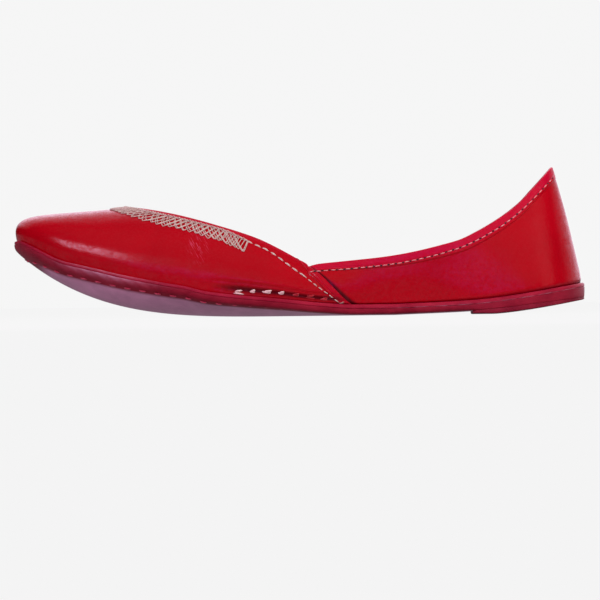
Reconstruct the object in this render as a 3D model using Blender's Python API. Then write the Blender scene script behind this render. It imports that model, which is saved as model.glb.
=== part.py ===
"""Punjabi jutti: a flat slip-on shoe in glossy red leather, made on a straight last.

Frame: the toe points along -X, the heel along +X, +Z is up, and the origin lies on the floor under the
middle of the shoe. Every piece is worked out from one outline, one sole curve and one last.
"""

import math
from typing import NamedTuple

import bmesh
import bpy
import numpy as np

MM = 0.001

# Driving sizes of the last and the sole
LENGTH = 255.0 * MM
BALL_WIDTH = 82.0 * MM
WAIST_WIDTH = 57.0 * MM
HEEL_WIDTH = 60.0 * MM
COLLAR_WIDTH = 55.0 * MM
INSTEP_HEIGHT = 48.5 * MM
NOTCH_HEIGHT = 22.0 * MM
HEEL_HEIGHT = 65.0 * MM
TOE_SPRING = 30.9 * MM
HEEL_SPRING = 6.1 * MM
HEEL_FLAT = 9.5 * MM
SIDE_RISE = 10.3 * MM

# Thicknesses and clearances
OUTSOLE_THICKNESS = 2.6 * MM
HEEL_THICKENING = 2.2 * MM
MIDSOLE_THICKNESS = 1.4 * MM
LIFT_THICKNESS = 0.6 * MM
LIFT_STEP = 1.0 * MM
INSOLE_THICKNESS = 2.0 * MM
QUARTER_WALL = 1.3 * MM
VAMP_WALL = 1.0 * MM
EDGE_ROUND = 0.5 * MM
GAP = 0.3 * MM
INSOLE_CLEARANCE = 1.0 * MM
TOE_BULGE = 1.4 * MM
FEATHER_INSET = 3.4 * MM
OUTSOLE_BEVEL = 2.0 * MM
MIDSOLE_BEVEL = 1.3 * MM
LIFT_BEVEL = 1.0 * MM
INSOLE_BEVEL = 0.6 * MM

# Stations are shares of the length, from the toe tip to the heel end
TOE_BREAK = 0.49
WAIST_START = 2 / 3
LIFT_FRONT = 0.802
THROAT = 0.203
PEAK = 0.946
UPRIGHT_FROM = 0.5
UPRIGHT_TO = 0.6
NOTCH = 0.514
WING_FOOT = 0.594

# Powers of the curves
TOE_SPRING_POWER = 3.65
HEEL_SPRING_POWER = 1.35
SIDE_RISE_POWER = 1.8
THICKENING_POWER = 3.0
FLAT_SHARE = 0.38
THROAT_LEAN_POWER = 1.8
PEAK_LEAN_POWER = 3.0

# Divisions of the surfaces
VAMP_COLUMNS = 26
QUARTER_COLUMNS = 19
UPPER_ROWS = 13
LINE_SAMPLES = 240
SOLE_COLUMNS = 40
LIFT_COLUMNS = 12
SOLE_STRIPS = 12


class OutlineRow(NamedTuple):
    """Half width of the sole: fullness times half of the named width times 2 sqrt(s (1 - s))."""

    station: float
    fullness: float
    width: float


SOLE_OUTLINE = (
    OutlineRow(0.00, 1.20, BALL_WIDTH),
    OutlineRow(0.06, 1.13, BALL_WIDTH),
    OutlineRow(0.16, 1.09, BALL_WIDTH),
    OutlineRow(0.27, 1.07, BALL_WIDTH),
    OutlineRow(0.36, 1.04, BALL_WIDTH),
    OutlineRow(0.51, 0.90, BALL_WIDTH),
    OutlineRow(0.64, 1.10, WAIST_WIDTH),
    OutlineRow(0.73, 1.15, WAIST_WIDTH),
    OutlineRow(0.84, 1.38, HEEL_WIDTH),
    OutlineRow(0.90, 1.62, HEEL_WIDTH),
    OutlineRow(0.95, 1.88, HEEL_WIDTH),
    OutlineRow(1.00, 2.02, HEEL_WIDTH),
)


class RiseRow(NamedTuple):
    """How far the sole's sides curl up, as a share of SIDE_RISE."""

    station: float
    share: float


SOLE_SIDES = (
    RiseRow(0.00, 0.00),
    RiseRow(0.01, 0.27),
    RiseRow(0.04, 0.49),
    RiseRow(0.08, 0.62),
    RiseRow(0.12, 0.85),
    RiseRow(0.16, 0.97),
    RiseRow(0.21, 1.00),
    RiseRow(0.29, 0.90),
    RiseRow(0.34, 0.67),
    RiseRow(0.41, 0.49),
    RiseRow(0.47, 0.34),
    RiseRow(0.54, 0.14),
    RiseRow(0.60, 0.04),
    RiseRow(0.73, 0.04),
    RiseRow(0.90, 0.03),
    RiseRow(1.00, 0.00),
)


class CurveRow(NamedTuple):
    """Height of the outsole's underside above the floor, on the centre line of the heel end."""

    station: float
    height: float


HEEL_CURVE = (
    CurveRow(WAIST_START, 0.0),
    CurveRow(LIFT_FRONT, LIFT_STEP + GAP),
    CurveRow(1.0, HEEL_SPRING + LIFT_THICKNESS + GAP),
)


class EdgeRow(NamedTuple):
    """A corner of a layer's side: its share of the bevel's depth, that bevel, and its share of the height."""

    share: float
    bevel: float
    height: float


OUTSOLE_EDGE = (
    EdgeRow(1.00, OUTSOLE_BEVEL, 0.00),
    EdgeRow(0.35, OUTSOLE_BEVEL, 0.20),
    EdgeRow(0.05, OUTSOLE_BEVEL, 0.55),
    EdgeRow(0.00, OUTSOLE_BEVEL, 1.00),
)
MIDSOLE_EDGE = (
    EdgeRow(0.08, MIDSOLE_BEVEL, 0.00),
    EdgeRow(0.30, MIDSOLE_BEVEL, 0.60),
    EdgeRow(1.00, MIDSOLE_BEVEL, 1.00),
)
LIFT_EDGE = (
    EdgeRow(1.00, LIFT_BEVEL, 0.00),
    EdgeRow(0.50, LIFT_BEVEL, 0.40),
    EdgeRow(0.40, LIFT_BEVEL, 1.00),
)
INSOLE_EDGE = (
    EdgeRow(0.00, INSOLE_BEVEL, 0.00),
    EdgeRow(0.20, INSOLE_BEVEL, 0.70),
    EdgeRow(1.00, INSOLE_BEVEL, 1.00),
)


class CollarRow(NamedTuple):
    """Fullness of the collar's opening, from 0 at the throat to 1 at the heel peak."""

    along: float
    fullness: float


COLLAR_OUTLINE = (
    CollarRow(0.00, 1.23),
    CollarRow(0.10, 1.08),
    CollarRow(0.25, 1.015),
    CollarRow(0.42, 0.995),
    CollarRow(0.60, 1.02),
    CollarRow(0.75, 1.11),
    CollarRow(0.90, 1.24),
    CollarRow(1.00, 1.18),
)


class HeightRow(NamedTuple):
    """Height of the top edge, from 0 at the notch to 1 at the throat or the heel peak."""

    station: float
    share: float


VAMP_TOPLINE = (
    HeightRow(THROAT, 1.000),
    HeightRow(0.220, 0.985),
    HeightRow(0.255, 0.932),
    HeightRow(0.290, 0.860),
    HeightRow(0.325, 0.771),
    HeightRow(0.360, 0.671),
    HeightRow(0.395, 0.565),
    HeightRow(0.430, 0.440),
    HeightRow(0.465, 0.272),
    HeightRow(0.500, 0.081),
    HeightRow(NOTCH, 0.000),
)
QUARTER_TOPLINE = (
    HeightRow(NOTCH, 0.000),
    HeightRow(0.536, 0.024),
    HeightRow(0.571, 0.043),
    HeightRow(0.641, 0.080),
    HeightRow(0.676, 0.108),
    HeightRow(0.711, 0.147),
    HeightRow(0.746, 0.196),
    HeightRow(0.782, 0.256),
    HeightRow(0.818, 0.358),
    HeightRow(0.853, 0.481),
    HeightRow(0.889, 0.643),
    HeightRow(0.907, 0.757),
    HeightRow(0.925, 0.870),
    HeightRow(PEAK, 1.000),
)


class RibRow(NamedTuple):
    """Shape of the last's ribs, which rise from the sole to the top edge.

    squareness 1 is a straight rib, 2 a round one and 4 a boxy one; end is the angle in degrees at which
    the top edge cuts the round; ramp is the share of the height that is climbed last; bulge is a share of
    TOE_BULGE; inset is how far the rib's foot stands in from the outline, as a share of FEATHER_INSET.
    """

    station: float
    squareness: float
    end: float
    ramp: float
    bulge: float
    inset: float


RIBS = (
    RibRow(0.00, 6.0, 90.0, 0.17, 0.7, 0.76),
    RibRow(0.05, 4.2, 88.0, 0.14, 0.8, 0.82),
    RibRow(0.10, 3.1, 82.0, 0.10, 0.9, 0.88),
    RibRow(0.18, 2.4, 70.0, 0.05, 1.0, 0.97),
    RibRow(0.30, 2.1, 60.0, 0.00, 1.0, 1.00),
    RibRow(0.45, 1.9, 52.0, 0.00, 0.7, 0.94),
    RibRow(0.55, 1.6, 50.0, 0.00, 0.4, 0.76),
    RibRow(0.70, 1.4, 50.0, 0.00, 0.3, 0.62),
    RibRow(0.85, 1.30, 50.0, 0.00, 0.1, 0.56),
    RibRow(1.00, 1.14, 50.0, 0.00, 0.1, 0.38),
)


def smooth(rows, column, station):
    """A cubic curve through one column of a table, with slopes limited so that it never overshoots."""
    at = np.array([row[0] for row in rows])
    value = np.array(column, float)
    step = np.diff(at)
    slope = np.diff(value) / step
    before, after = slope[:-1], slope[1:]
    rising = before * after > 0
    inner = np.where(rising, 2 * before * after / np.where(rising, before + after, 1.0), 0.0)
    tangent = np.concatenate([slope[:1], inner, slope[-1:]])
    s = np.clip(np.asarray(station, float), at[0], at[-1])
    i = np.clip(np.searchsorted(at, s, "right") - 1, 0, len(step) - 1)
    t = (s - at[i]) / step[i]
    ends = value[i] * (1 + 2 * t) * (1 - t) ** 2 + value[i + 1] * t**2 * (3 - 2 * t)
    return ends + step[i] * t * (1 - t) * (tangent[i] * (1 - t) - tangent[i + 1] * t)


def station_of(x):
    return np.clip(np.asarray(x, float) / LENGTH + 0.5, 0.0, 1.0)


def x_of(station):
    return (np.asarray(station, float) - 0.5) * LENGTH


def turn_of(station):
    """The angle about the outline, 0 at the toe and pi at the heel, at which a station lies."""
    return np.arccos(1 - 2 * np.asarray(station, float))


def fullness(station):
    return smooth(SOLE_OUTLINE, [row.fullness * row.width / 2 for row in SOLE_OUTLINE], station)


def half_width(station):
    return 2 * np.sqrt(station * (1 - station)) * fullness(station)


def outline(turn, inset):
    """The sole's outline moved inwards, seen from above, from the toe along the near side. Gives x and y."""

    def edge(angle):
        station = (1 - np.cos(angle)) / 2
        return x_of(station), -np.sin(angle) * fullness(station)

    small = 1e-4
    ahead, behind = edge(turn + small), edge(turn - small)
    along_x, along_y = ahead[0] - behind[0], ahead[1] - behind[1]
    length = np.hypot(along_x, along_y)
    x, y = edge(turn)
    return x - along_y / length * inset, y + along_x / length * inset


def sole_curve(station):
    """Height of the outsole's underside on the centre line: toe spring, flat tread and raised heel seat."""
    toe = TOE_SPRING * np.clip(1 - station / TOE_BREAK, 0, None) ** TOE_SPRING_POWER
    return toe + smooth(HEEL_CURVE, [row.height for row in HEEL_CURVE], station)


def side_curl(x, y):
    """How far a point of the sole curls up towards the sides, above the flat middle."""
    station = station_of(x)
    across = np.clip(np.abs(y) / np.maximum(half_width(station), 1e-6), 0, 1)
    curl = np.clip((across - FLAT_SHARE) / (1 - FLAT_SHARE), 0, None) ** SIDE_RISE_POWER
    return SIDE_RISE * smooth(SOLE_SIDES, [row.share for row in SOLE_SIDES], station) * curl


def underside(x, y):
    return sole_curve(station_of(x)) + side_curl(x, y)


def outsole_top(x, y):
    heel = np.clip((station_of(x) - WAIST_START) / (1 - WAIST_START), 0, None) ** THICKENING_POWER
    return underside(x, y) + OUTSOLE_THICKNESS + HEEL_THICKENING * heel


def midsole_foot(x, y):
    return outsole_top(x, y) + GAP


def midsole_top(x, y):
    return midsole_foot(x, y) + MIDSOLE_THICKNESS


def seat(x, y):
    """Height at which the upper and the insole stand, just clear of the midsole."""
    return midsole_top(x, y) + GAP


def insole_top(x, y):
    return seat(x, y) + INSOLE_THICKNESS


def lift_foot(x, y):
    """The heel lift's underside: a flat that rests on the floor, then sprung up to the heel end."""
    heel_break = LIFT_FRONT + HEEL_FLAT / LENGTH
    spring = np.clip((station_of(x) - heel_break) / (1 - heel_break), 0, None) ** HEEL_SPRING_POWER
    return HEEL_SPRING * spring + side_curl(x, y)


def lift_top(x, y):
    return underside(x, y) - GAP


def topline(turn):
    """The top edge of the last, as x, y and z, above each angle about the sole.

    Towards the toe it stands back over the vamp, and at the heel end it leans forward to the peak.
    """
    foot = (1 - np.cos(turn)) / 2
    back = THROAT * np.clip(1 - foot / UPRIGHT_FROM, 0, None) ** THROAT_LEAN_POWER
    forward = (1 - PEAK) * np.clip((foot - UPRIGHT_TO) / (1 - UPRIGHT_TO), 0, None) ** PEAK_LEAN_POWER
    station = foot + back - forward
    along = np.clip((station - THROAT) / (PEAK - THROAT), 0, 1)
    wide = smooth(COLLAR_OUTLINE, [row.fullness for row in COLLAR_OUTLINE], along) * COLLAR_WIDTH / 2
    y = -np.sign(np.sin(turn)) * 2 * np.sqrt(along * (1 - along)) * wide
    vamp = smooth(VAMP_TOPLINE, [row.share for row in VAMP_TOPLINE], station)
    quarter = smooth(QUARTER_TOPLINE, [row.share for row in QUARTER_TOPLINE], station)
    vamp_height = vamp * (INSTEP_HEIGHT - NOTCH_HEIGHT)
    quarter_height = quarter * (HEEL_HEIGHT - NOTCH_HEIGHT)
    return np.stack([x_of(station), y, NOTCH_HEIGHT + vamp_height + quarter_height], axis=-1)


def last_point(turn, climb):
    """Points of the last for an angle about the sole and a share of the climb from the sole to the top edge.

    Each rib is a quarter of a superellipse, cut at its end angle, that swells outwards in the middle.
    """
    station = (1 - np.cos(turn)) / 2
    rib = RibRow(*(smooth(RIBS, column, station) for column in zip(*RIBS)))
    inset = rib.inset * FEATHER_INSET
    foot_x, foot_y = outline(turn, inset)
    edge_x, edge_y = outline(turn, 0.0)
    foot_z = seat(foot_x, foot_y)
    top = topline(turn)
    end = np.radians(rib.end)
    angle = end * climb**2 * (3 - 2 * climb)
    power = 2 / rib.squareness
    along = (1 - np.cos(angle) ** power) / (1 - np.cos(end) ** power)
    up = np.sin(angle) ** power / np.sin(end) ** power
    swell = TOE_BULGE * rib.bulge * np.sin(math.pi * up) / inset
    x = foot_x + (top[..., 0] - foot_x) * along + (edge_x - foot_x) * swell
    y = foot_y + (top[..., 1] - foot_y) * along + (edge_y - foot_y) * swell
    z = foot_z + (top[..., 2] - foot_z) * ((1 - rib.ramp) * up + rib.ramp * along**2)
    return np.stack([x, y, z], axis=-1)


def upper_lines(foot_turn, top_turn):
    """Points and outward normals along lines that slant from one angle at the sole to another at the top."""
    climb = np.linspace(0, 1, LINE_SAMPLES)[None, :]
    slant = np.sin(climb * math.pi / 2)
    turn = foot_turn[:, None] + (top_turn - foot_turn)[:, None] * slant
    points = last_point(turn, climb)
    small = 1e-3
    around = last_point(turn + small, climb) - last_point(turn - small, climb)
    upward = np.gradient(points, axis=1)
    normal = np.cross(around, upward)
    normal /= np.linalg.norm(normal, axis=-1, keepdims=True)
    return points, normal


def at_shares(points, values, shares):
    """Values along each line, read at shares of that line's length."""
    steps = np.linalg.norm(np.diff(points, axis=1), axis=-1)
    length = np.concatenate([np.zeros((len(points), 1)), np.cumsum(steps, axis=1)], axis=1)
    read = [
        [np.interp(shares * total[-1], total, value[:, axis]) for axis in range(3)]
        for total, value in zip(length, values)
    ]
    return np.array(read).transpose(0, 2, 1)


def half_columns():
    """Angles of the columns on the near side, at the sole and at the top edge, and the vamp's extra wall.

    One column follows the wing's edge from the sole to the notch and is there twice, once with the vamp.
    """
    foot_wing, top_wing = turn_of(WING_FOOT), turn_of(NOTCH)
    front = np.linspace(0, 1, VAMP_COLUMNS + 1)
    back = np.linspace(0, 1, QUARTER_COLUMNS + 1)
    foot = np.concatenate([front * foot_wing, foot_wing + back * (math.pi - foot_wing)])
    top = np.concatenate([front * top_wing, top_wing + back * (math.pi - top_wing)])
    wall = np.concatenate([np.full(len(front), VAMP_WALL), np.zeros(len(back))])
    return foot, top, wall


def upper_mesh():
    """The hollow upper: each column goes up the outside, over the rounded top edge and down the inside."""
    foot, top, wall = half_columns()
    points, normal = upper_lines(foot, top)
    shares = np.linspace(0, 1, UPPER_ROWS + 1)
    middle = at_shares(points, points, shares)
    normal = at_shares(points, normal, shares)
    normal /= np.linalg.norm(normal, axis=-1, keepdims=True)
    outer = middle + normal * wall[:, None, None]
    inner = middle - normal * QUARTER_WALL
    for side in (outer, inner):
        side[:, 0, 2] = seat(side[:, 0, 0], side[:, 0, 1])
    climb = middle[:, -1] - middle[:, -2]
    climb /= np.linalg.norm(climb, axis=-1, keepdims=True)
    rim = (outer[:, -1] + inner[:, -1]) / 2 + climb * EDGE_ROUND
    near = np.concatenate([outer, rim[:, None], inner[:, ::-1]], axis=1)
    near[[0, -1], :, 1] = 0.0
    far = near[-2:0:-1] * np.array([1.0, -1.0, 1.0])
    return ring_mesh(np.concatenate([near, far]))


def ring_mesh(loops, closed=True):
    """Faces between neighbouring loops of points, with the first and last loops joined or capped."""
    count, size = loops.shape[:2]
    index = np.arange(count * size).reshape(count, size)
    following = np.roll(index, -1, axis=0) if closed else index[1:]
    here = index if closed else index[:-1]
    quads = np.stack(
        [here, following, np.roll(following, -1, axis=1), np.roll(here, -1, axis=1)], axis=-1
    ).reshape(-1, 4)
    faces = [tuple(quad) for quad in quads.tolist()]
    if not closed:
        faces += [tuple(index[0].tolist()), tuple(index[-1, ::-1].tolist())]
    return loops.reshape(-1, 3), faces


def layer_mesh(turns, extra_inset, edge, bottom, top):
    """A layer of the sole, lofted from sections that cross it from the near side to the far side.

    A section runs across the underside, up the far edge, back across the top and down the near edge.
    """
    inset = np.array([row.share * row.bevel for row in edge]) + extra_inset
    height = np.array([row.height for row in edge])
    x, y = outline(turns[:, None], inset)
    z = bottom(x, y) * (1 - height) + top(x, y) * height
    share = np.linspace(-1, 1, SOLE_STRIPS + 1)[None, 1:-1]

    def across(column, surface):
        line_x = np.repeat(x[:, column, None], share.size, axis=1)
        line_y = -y[:, column, None] * share
        return np.stack([line_x, line_y, surface(line_x, line_y)], axis=-1)

    near = np.stack([x, y, z], axis=-1)
    far = near * np.array([1.0, -1.0, 1.0])
    loops = np.concatenate([across(0, bottom), far, across(-1, top)[:, ::-1], near[:, ::-1]], axis=1)
    return ring_mesh(loops, closed=False)


def add_piece(name, mesh_data, material):
    """Joins points that coincide, splits the faces into triangles and adds the piece to the scene."""
    points, faces = mesh_data
    mesh = bpy.data.meshes.new(name)
    mesh.from_pydata(points.tolist(), [], faces)
    shape = bmesh.new()
    shape.from_mesh(mesh)
    bmesh.ops.remove_doubles(shape, verts=shape.verts, dist=1e-6)
    bmesh.ops.dissolve_degenerate(shape, dist=1e-6, edges=shape.edges)
    bmesh.ops.triangulate(shape, faces=shape.faces)
    bmesh.ops.recalc_face_normals(shape, faces=shape.faces)
    shape.to_mesh(mesh)
    shape.free()
    mesh.materials.append(material)
    piece = bpy.data.objects.new(name, mesh)
    bpy.context.scene.collection.objects.link(piece)
    mesh.shade_smooth()
    mesh.set_sharp_from_angle(angle=math.radians(40))
    return piece


def leather(name, color, roughness, coat):
    material = bpy.data.materials.new(name)
    material.use_nodes = True
    shader = material.node_tree.nodes["Principled BSDF"]
    shader.inputs["Base Color"].default_value = (*color, 1.0)
    shader.inputs["Roughness"].default_value = roughness
    shader.inputs["Metallic"].default_value = 0.0
    shader.inputs["Coat Weight"].default_value = coat
    return material


def main():
    for piece in list(bpy.data.objects):
        bpy.data.objects.remove(piece)
    red = leather("red_leather", (0.43, 0.003, 0.012), 0.26, 0.4)
    maroon = leather("maroon_edge", (0.16, 0.008, 0.025), 0.4, 0.2)
    rim = leather("maroon_rim", (0.22, 0.006, 0.03), 0.36, 0.2)
    hide = leather("dark_lift", (0.1, 0.012, 0.02), 0.5, 0.0)
    tan = leather("tan_lining", (0.52, 0.3, 0.16), 0.62, 0.0)

    full = np.linspace(0, math.pi, SOLE_COLUMNS + 1)
    heel = np.linspace(turn_of(LIFT_FRONT), math.pi, LIFT_COLUMNS + 1)
    insole_inset = smooth(RIBS, [row.inset for row in RIBS], (1 - np.cos(full)) / 2)[:, None]
    insole_inset = insole_inset * FEATHER_INSET + QUARTER_WALL + INSOLE_CLEARANCE
    add_piece("outsole", layer_mesh(full, 0.0, OUTSOLE_EDGE, underside, outsole_top), maroon)
    add_piece("midsole", layer_mesh(full, 0.0, MIDSOLE_EDGE, midsole_foot, midsole_top), rim)
    add_piece("heel_lift", layer_mesh(heel, 0.0, LIFT_EDGE, lift_foot, lift_top), hide)
    add_piece("insole", layer_mesh(full, insole_inset, INSOLE_EDGE, seat, insole_top), tan)
    add_piece("upper", upper_mesh(), red)


main()
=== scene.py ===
"""Looks of a Punjabi jutti in glossy red leather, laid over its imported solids.

The toe points along -X, the heel along +X, +Z is up, and every length is in metres.
"""

import logging
import math
from dataclasses import dataclass, field
from enum import Enum
from typing import Callable, NamedTuple

import bmesh
import bpy
import numpy as np
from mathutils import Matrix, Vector
from mathutils.bvhtree import BVHTree


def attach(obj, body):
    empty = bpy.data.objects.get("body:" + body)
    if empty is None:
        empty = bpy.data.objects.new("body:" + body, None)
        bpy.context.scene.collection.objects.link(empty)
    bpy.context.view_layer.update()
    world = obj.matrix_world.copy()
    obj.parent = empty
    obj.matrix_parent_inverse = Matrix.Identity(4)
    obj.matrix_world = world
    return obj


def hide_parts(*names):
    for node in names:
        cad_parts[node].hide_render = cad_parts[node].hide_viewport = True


Array = np.ndarray
Surface = Callable[[Array, Array], Array]
Triple = tuple[float, float, float]
Rows = tuple[tuple[float, ...], ...]
Material = bpy.types.Material
Socket = bpy.types.NodeSocket
Tree = bpy.types.NodeTree
Object = bpy.types.Object

MM = 0.001
RAY_START = 10.0
TINY = 1e-12
WELD_REACH = 1e-7
SIDES = (-1.0, 1.0)
# The photograph's side view: metres to its unit, half the shoe, the toe's place and the picture's tilt.
UNIT = 0.255 / 569.5
HALF_LENGTH = 127.5 * MM
TOE_AT = 15.0
ROLL = 0.0113

LOG = logging.getLogger("jutti")
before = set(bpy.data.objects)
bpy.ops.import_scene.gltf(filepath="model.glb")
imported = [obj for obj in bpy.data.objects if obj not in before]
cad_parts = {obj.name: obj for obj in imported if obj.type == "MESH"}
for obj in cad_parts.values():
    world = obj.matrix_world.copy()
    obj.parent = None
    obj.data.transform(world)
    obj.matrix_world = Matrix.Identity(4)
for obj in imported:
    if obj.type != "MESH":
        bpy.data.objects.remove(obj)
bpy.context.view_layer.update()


class Piece(Enum):
    """Names of the pieces that this script adds."""

    UPPER = "upper_skin"
    OUTSOLE = "outsole_skin"
    MIDSOLE = "midsole_skin"
    LIFT = "heel_lift_skin"
    INSOLE = "insole_skin"
    LATTICE = "throat_lattice"
    EDGE_STITCHES = "edge_stitches"
    WING_STITCHES = "wing_stitches"
    SOLE_STITCHES = "sole_stitches"
    LASTING_PALE = "lasting_stitches_pale"
    LASTING_RED = "lasting_stitches_red"
    HOLES = "stitch_holes"
    FLOOR = "studio_floor"


class Slot(Enum):
    """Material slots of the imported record."""

    RED = "red_leather"
    SOLE = "maroon_edge"
    RIM = "maroon_rim"
    LIFT = "dark_lift"
    LINING = "tan_lining"


# Arrays and curves


def smooth(at: Array, value: Array, where: Array) -> Array:
    """Cubic curve through table values, with slopes limited so that it never overshoots.

    Args:
        at: rising places of the table's rows.
        value: the value at each place.
        where: places to read.

    Returns:
        The curve's values, in the shape of where.
    """
    at, value = np.asarray(at, float), np.asarray(value, float)
    step = np.diff(at)
    slope = np.diff(value) / step
    before, after = slope[:-1], slope[1:]
    rising = before * after > 0
    inner = np.where(rising, 2 * before * after / np.where(rising, before + after, 1.0), 0.0)
    tangent = np.concatenate([slope[:1], inner, slope[-1:]])
    s = np.clip(np.asarray(where, float), at[0], at[-1])
    i = np.clip(np.searchsorted(at, s, "right") - 1, 0, len(step) - 1)
    t = (s - at[i]) / step[i]
    ends = value[i] * (1 + 2 * t) * (1 - t) ** 2 + value[i + 1] * t**2 * (3 - 2 * t)
    return ends + step[i] * t * (1 - t) * (tangent[i] * (1 - t) - tangent[i + 1] * t)


def table(rows: Rows, where: Array) -> Array:
    """Reads a two-column table as a smooth curve."""
    at, value = zip(*rows)
    return smooth(np.array(at), np.array(value), where)


def step_up(value: Array, low: float, high: float) -> Array:
    """Smooth step from 0 at low to 1 at high."""
    t = np.clip((value - low) / (high - low), 0, 1)
    return t * t * (3 - 2 * t)


def bump_at(value: Array, centre: float, width: float) -> Array:
    """Bell curve of height 1 round centre."""
    return np.exp(-(((value - centre) / width) ** 2))


def unit(vectors: Array) -> Array:
    """Vectors scaled to length 1 along the last axis."""
    return vectors / np.maximum(np.linalg.norm(vectors, axis=-1, keepdims=True), TINY)


def lengths_along(lines: Array) -> Array:
    """Length from each line's first point to each of its points, for lines shaped (line, point, xyz)."""
    steps = np.linalg.norm(np.diff(lines, axis=1), axis=-1)
    return np.concatenate([np.zeros((len(lines), 1)), np.cumsum(steps, axis=1)], axis=1)


def read_lines(length: Array, values: Array, wanted: Array) -> Array:
    """Values of each line at wanted lengths, by straight interpolation between its samples.

    Args:
        length: (line, sample) rising lengths.
        values: (line, sample, k) values at them.
        wanted: (line, row) lengths to read.

    Returns:
        (line, row, k) values.
    """
    below = (length[:, None, :] <= wanted[:, :, None]).sum(-1) - 1
    below = np.clip(below, 0, length.shape[1] - 2)
    line = np.arange(len(length))[:, None]
    low, high = length[line, below], length[line, below + 1]
    t = np.clip((wanted - low) / np.maximum(high - low, TINY), 0, 1)[..., None]
    return values[line, below] * (1 - t) + values[line, below + 1] * t


def resample(path: Array, pitch: float) -> tuple[Array, Array]:
    """Points evenly spaced along a path, and the unit directions there.

    Args:
        path: (point, k) corners of the path.
        pitch: wanted distance between points.

    Returns:
        The points and the directions, both (n, k).
    """
    steps = np.linalg.norm(np.diff(path, axis=0), axis=1)
    length = np.concatenate([[0.0], np.cumsum(steps)])
    count = max(2, int(round(length[-1] / pitch)) + 1)
    want = np.linspace(0, length[-1], count)
    points = np.stack([np.interp(want, length, path[:, k]) for k in range(path.shape[1])], axis=1)
    return points, unit(np.gradient(points, axis=0))


def grid_faces(rows: int, columns: int, wrap_rows: bool = False, wrap_columns: bool = False) -> Array:
    """Four-cornered faces of a grid of points numbered row by row.

    Args:
        rows: number of rows.
        columns: number of points in a row.
        wrap_rows: joins the last row to the first.
        wrap_columns: joins each row's end to its start.

    Returns:
        (face, 4) point numbers.
    """
    index = np.arange(rows * columns).reshape(rows, columns)
    if wrap_rows:
        index = np.concatenate([index, index[:1]], axis=0)
    if wrap_columns:
        index = np.concatenate([index, index[:, :1]], axis=1)
    corners = (index[:-1, :-1], index[1:, :-1], index[1:, 1:], index[:-1, 1:])
    return np.stack(corners, axis=-1).reshape(-1, 4)


def make_piece(
    name: Piece,
    points: Array,
    faces: Array | list[list[int]],
    materials: list[Material],
    slots: Array | None = None,
    values: dict[str, Array] | None = None,
) -> Object:
    """Puts a mesh made of arrays into the scene, smooth shaded, at the origin.

    Args:
        name: the piece's name.
        points: (n, 3) places in metres.
        faces: (m, 3 or 4) point numbers; a face whose corners repeat is closed to a triangle.
        materials: materials, in the order of slots.
        slots: (m,) material number of each face.
        values: named numbers for each point, which materials read.

    Returns:
        The new object.
    """
    mesh = bpy.data.meshes.new(name.value)
    if not isinstance(faces, list):
        faces = faces.tolist()
    mesh.from_pydata(points.astype(float), [], faces)
    for material in materials:
        mesh.materials.append(material)
    if slots is not None:
        mesh.polygons.foreach_set("material_index", slots.astype(np.int32))
    for key, value in (values or {}).items():
        layer = mesh.attributes.new(key, "FLOAT", "POINT")
        layer.data.foreach_set("value", value.astype(np.float32).ravel())
    mesh.shade_smooth()
    mesh.update()
    made = bpy.data.objects.new(name.value, mesh)
    bpy.context.scene.collection.objects.link(made)
    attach(made, "root")
    return made


def weld(piece: Object) -> None:
    """Joins the points that lie on one place, so that a section drawn to a line closes the piece.

    Args:
        piece: one of this script's pieces.
    """
    work = bmesh.new()
    work.from_mesh(piece.data)
    bmesh.ops.remove_doubles(work, verts=work.verts, dist=WELD_REACH)
    work.to_mesh(piece.data)
    work.free()


# The last and the sole's curves


class Rib(NamedTuple):
    """Shape of the last's ribs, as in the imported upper.

    Attributes:
        at: station, the share of the length from the toe.
        squareness: power of the superellipse.
        end: angle at which it is cut off, in degrees.
        ramp: share of the height that grows with the way inwards.
        bulge: share of the toe's bulge.
        inset: share of the feather's inset.
    """

    at: float
    squareness: float
    end: float
    ramp: float
    bulge: float
    inset: float


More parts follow.
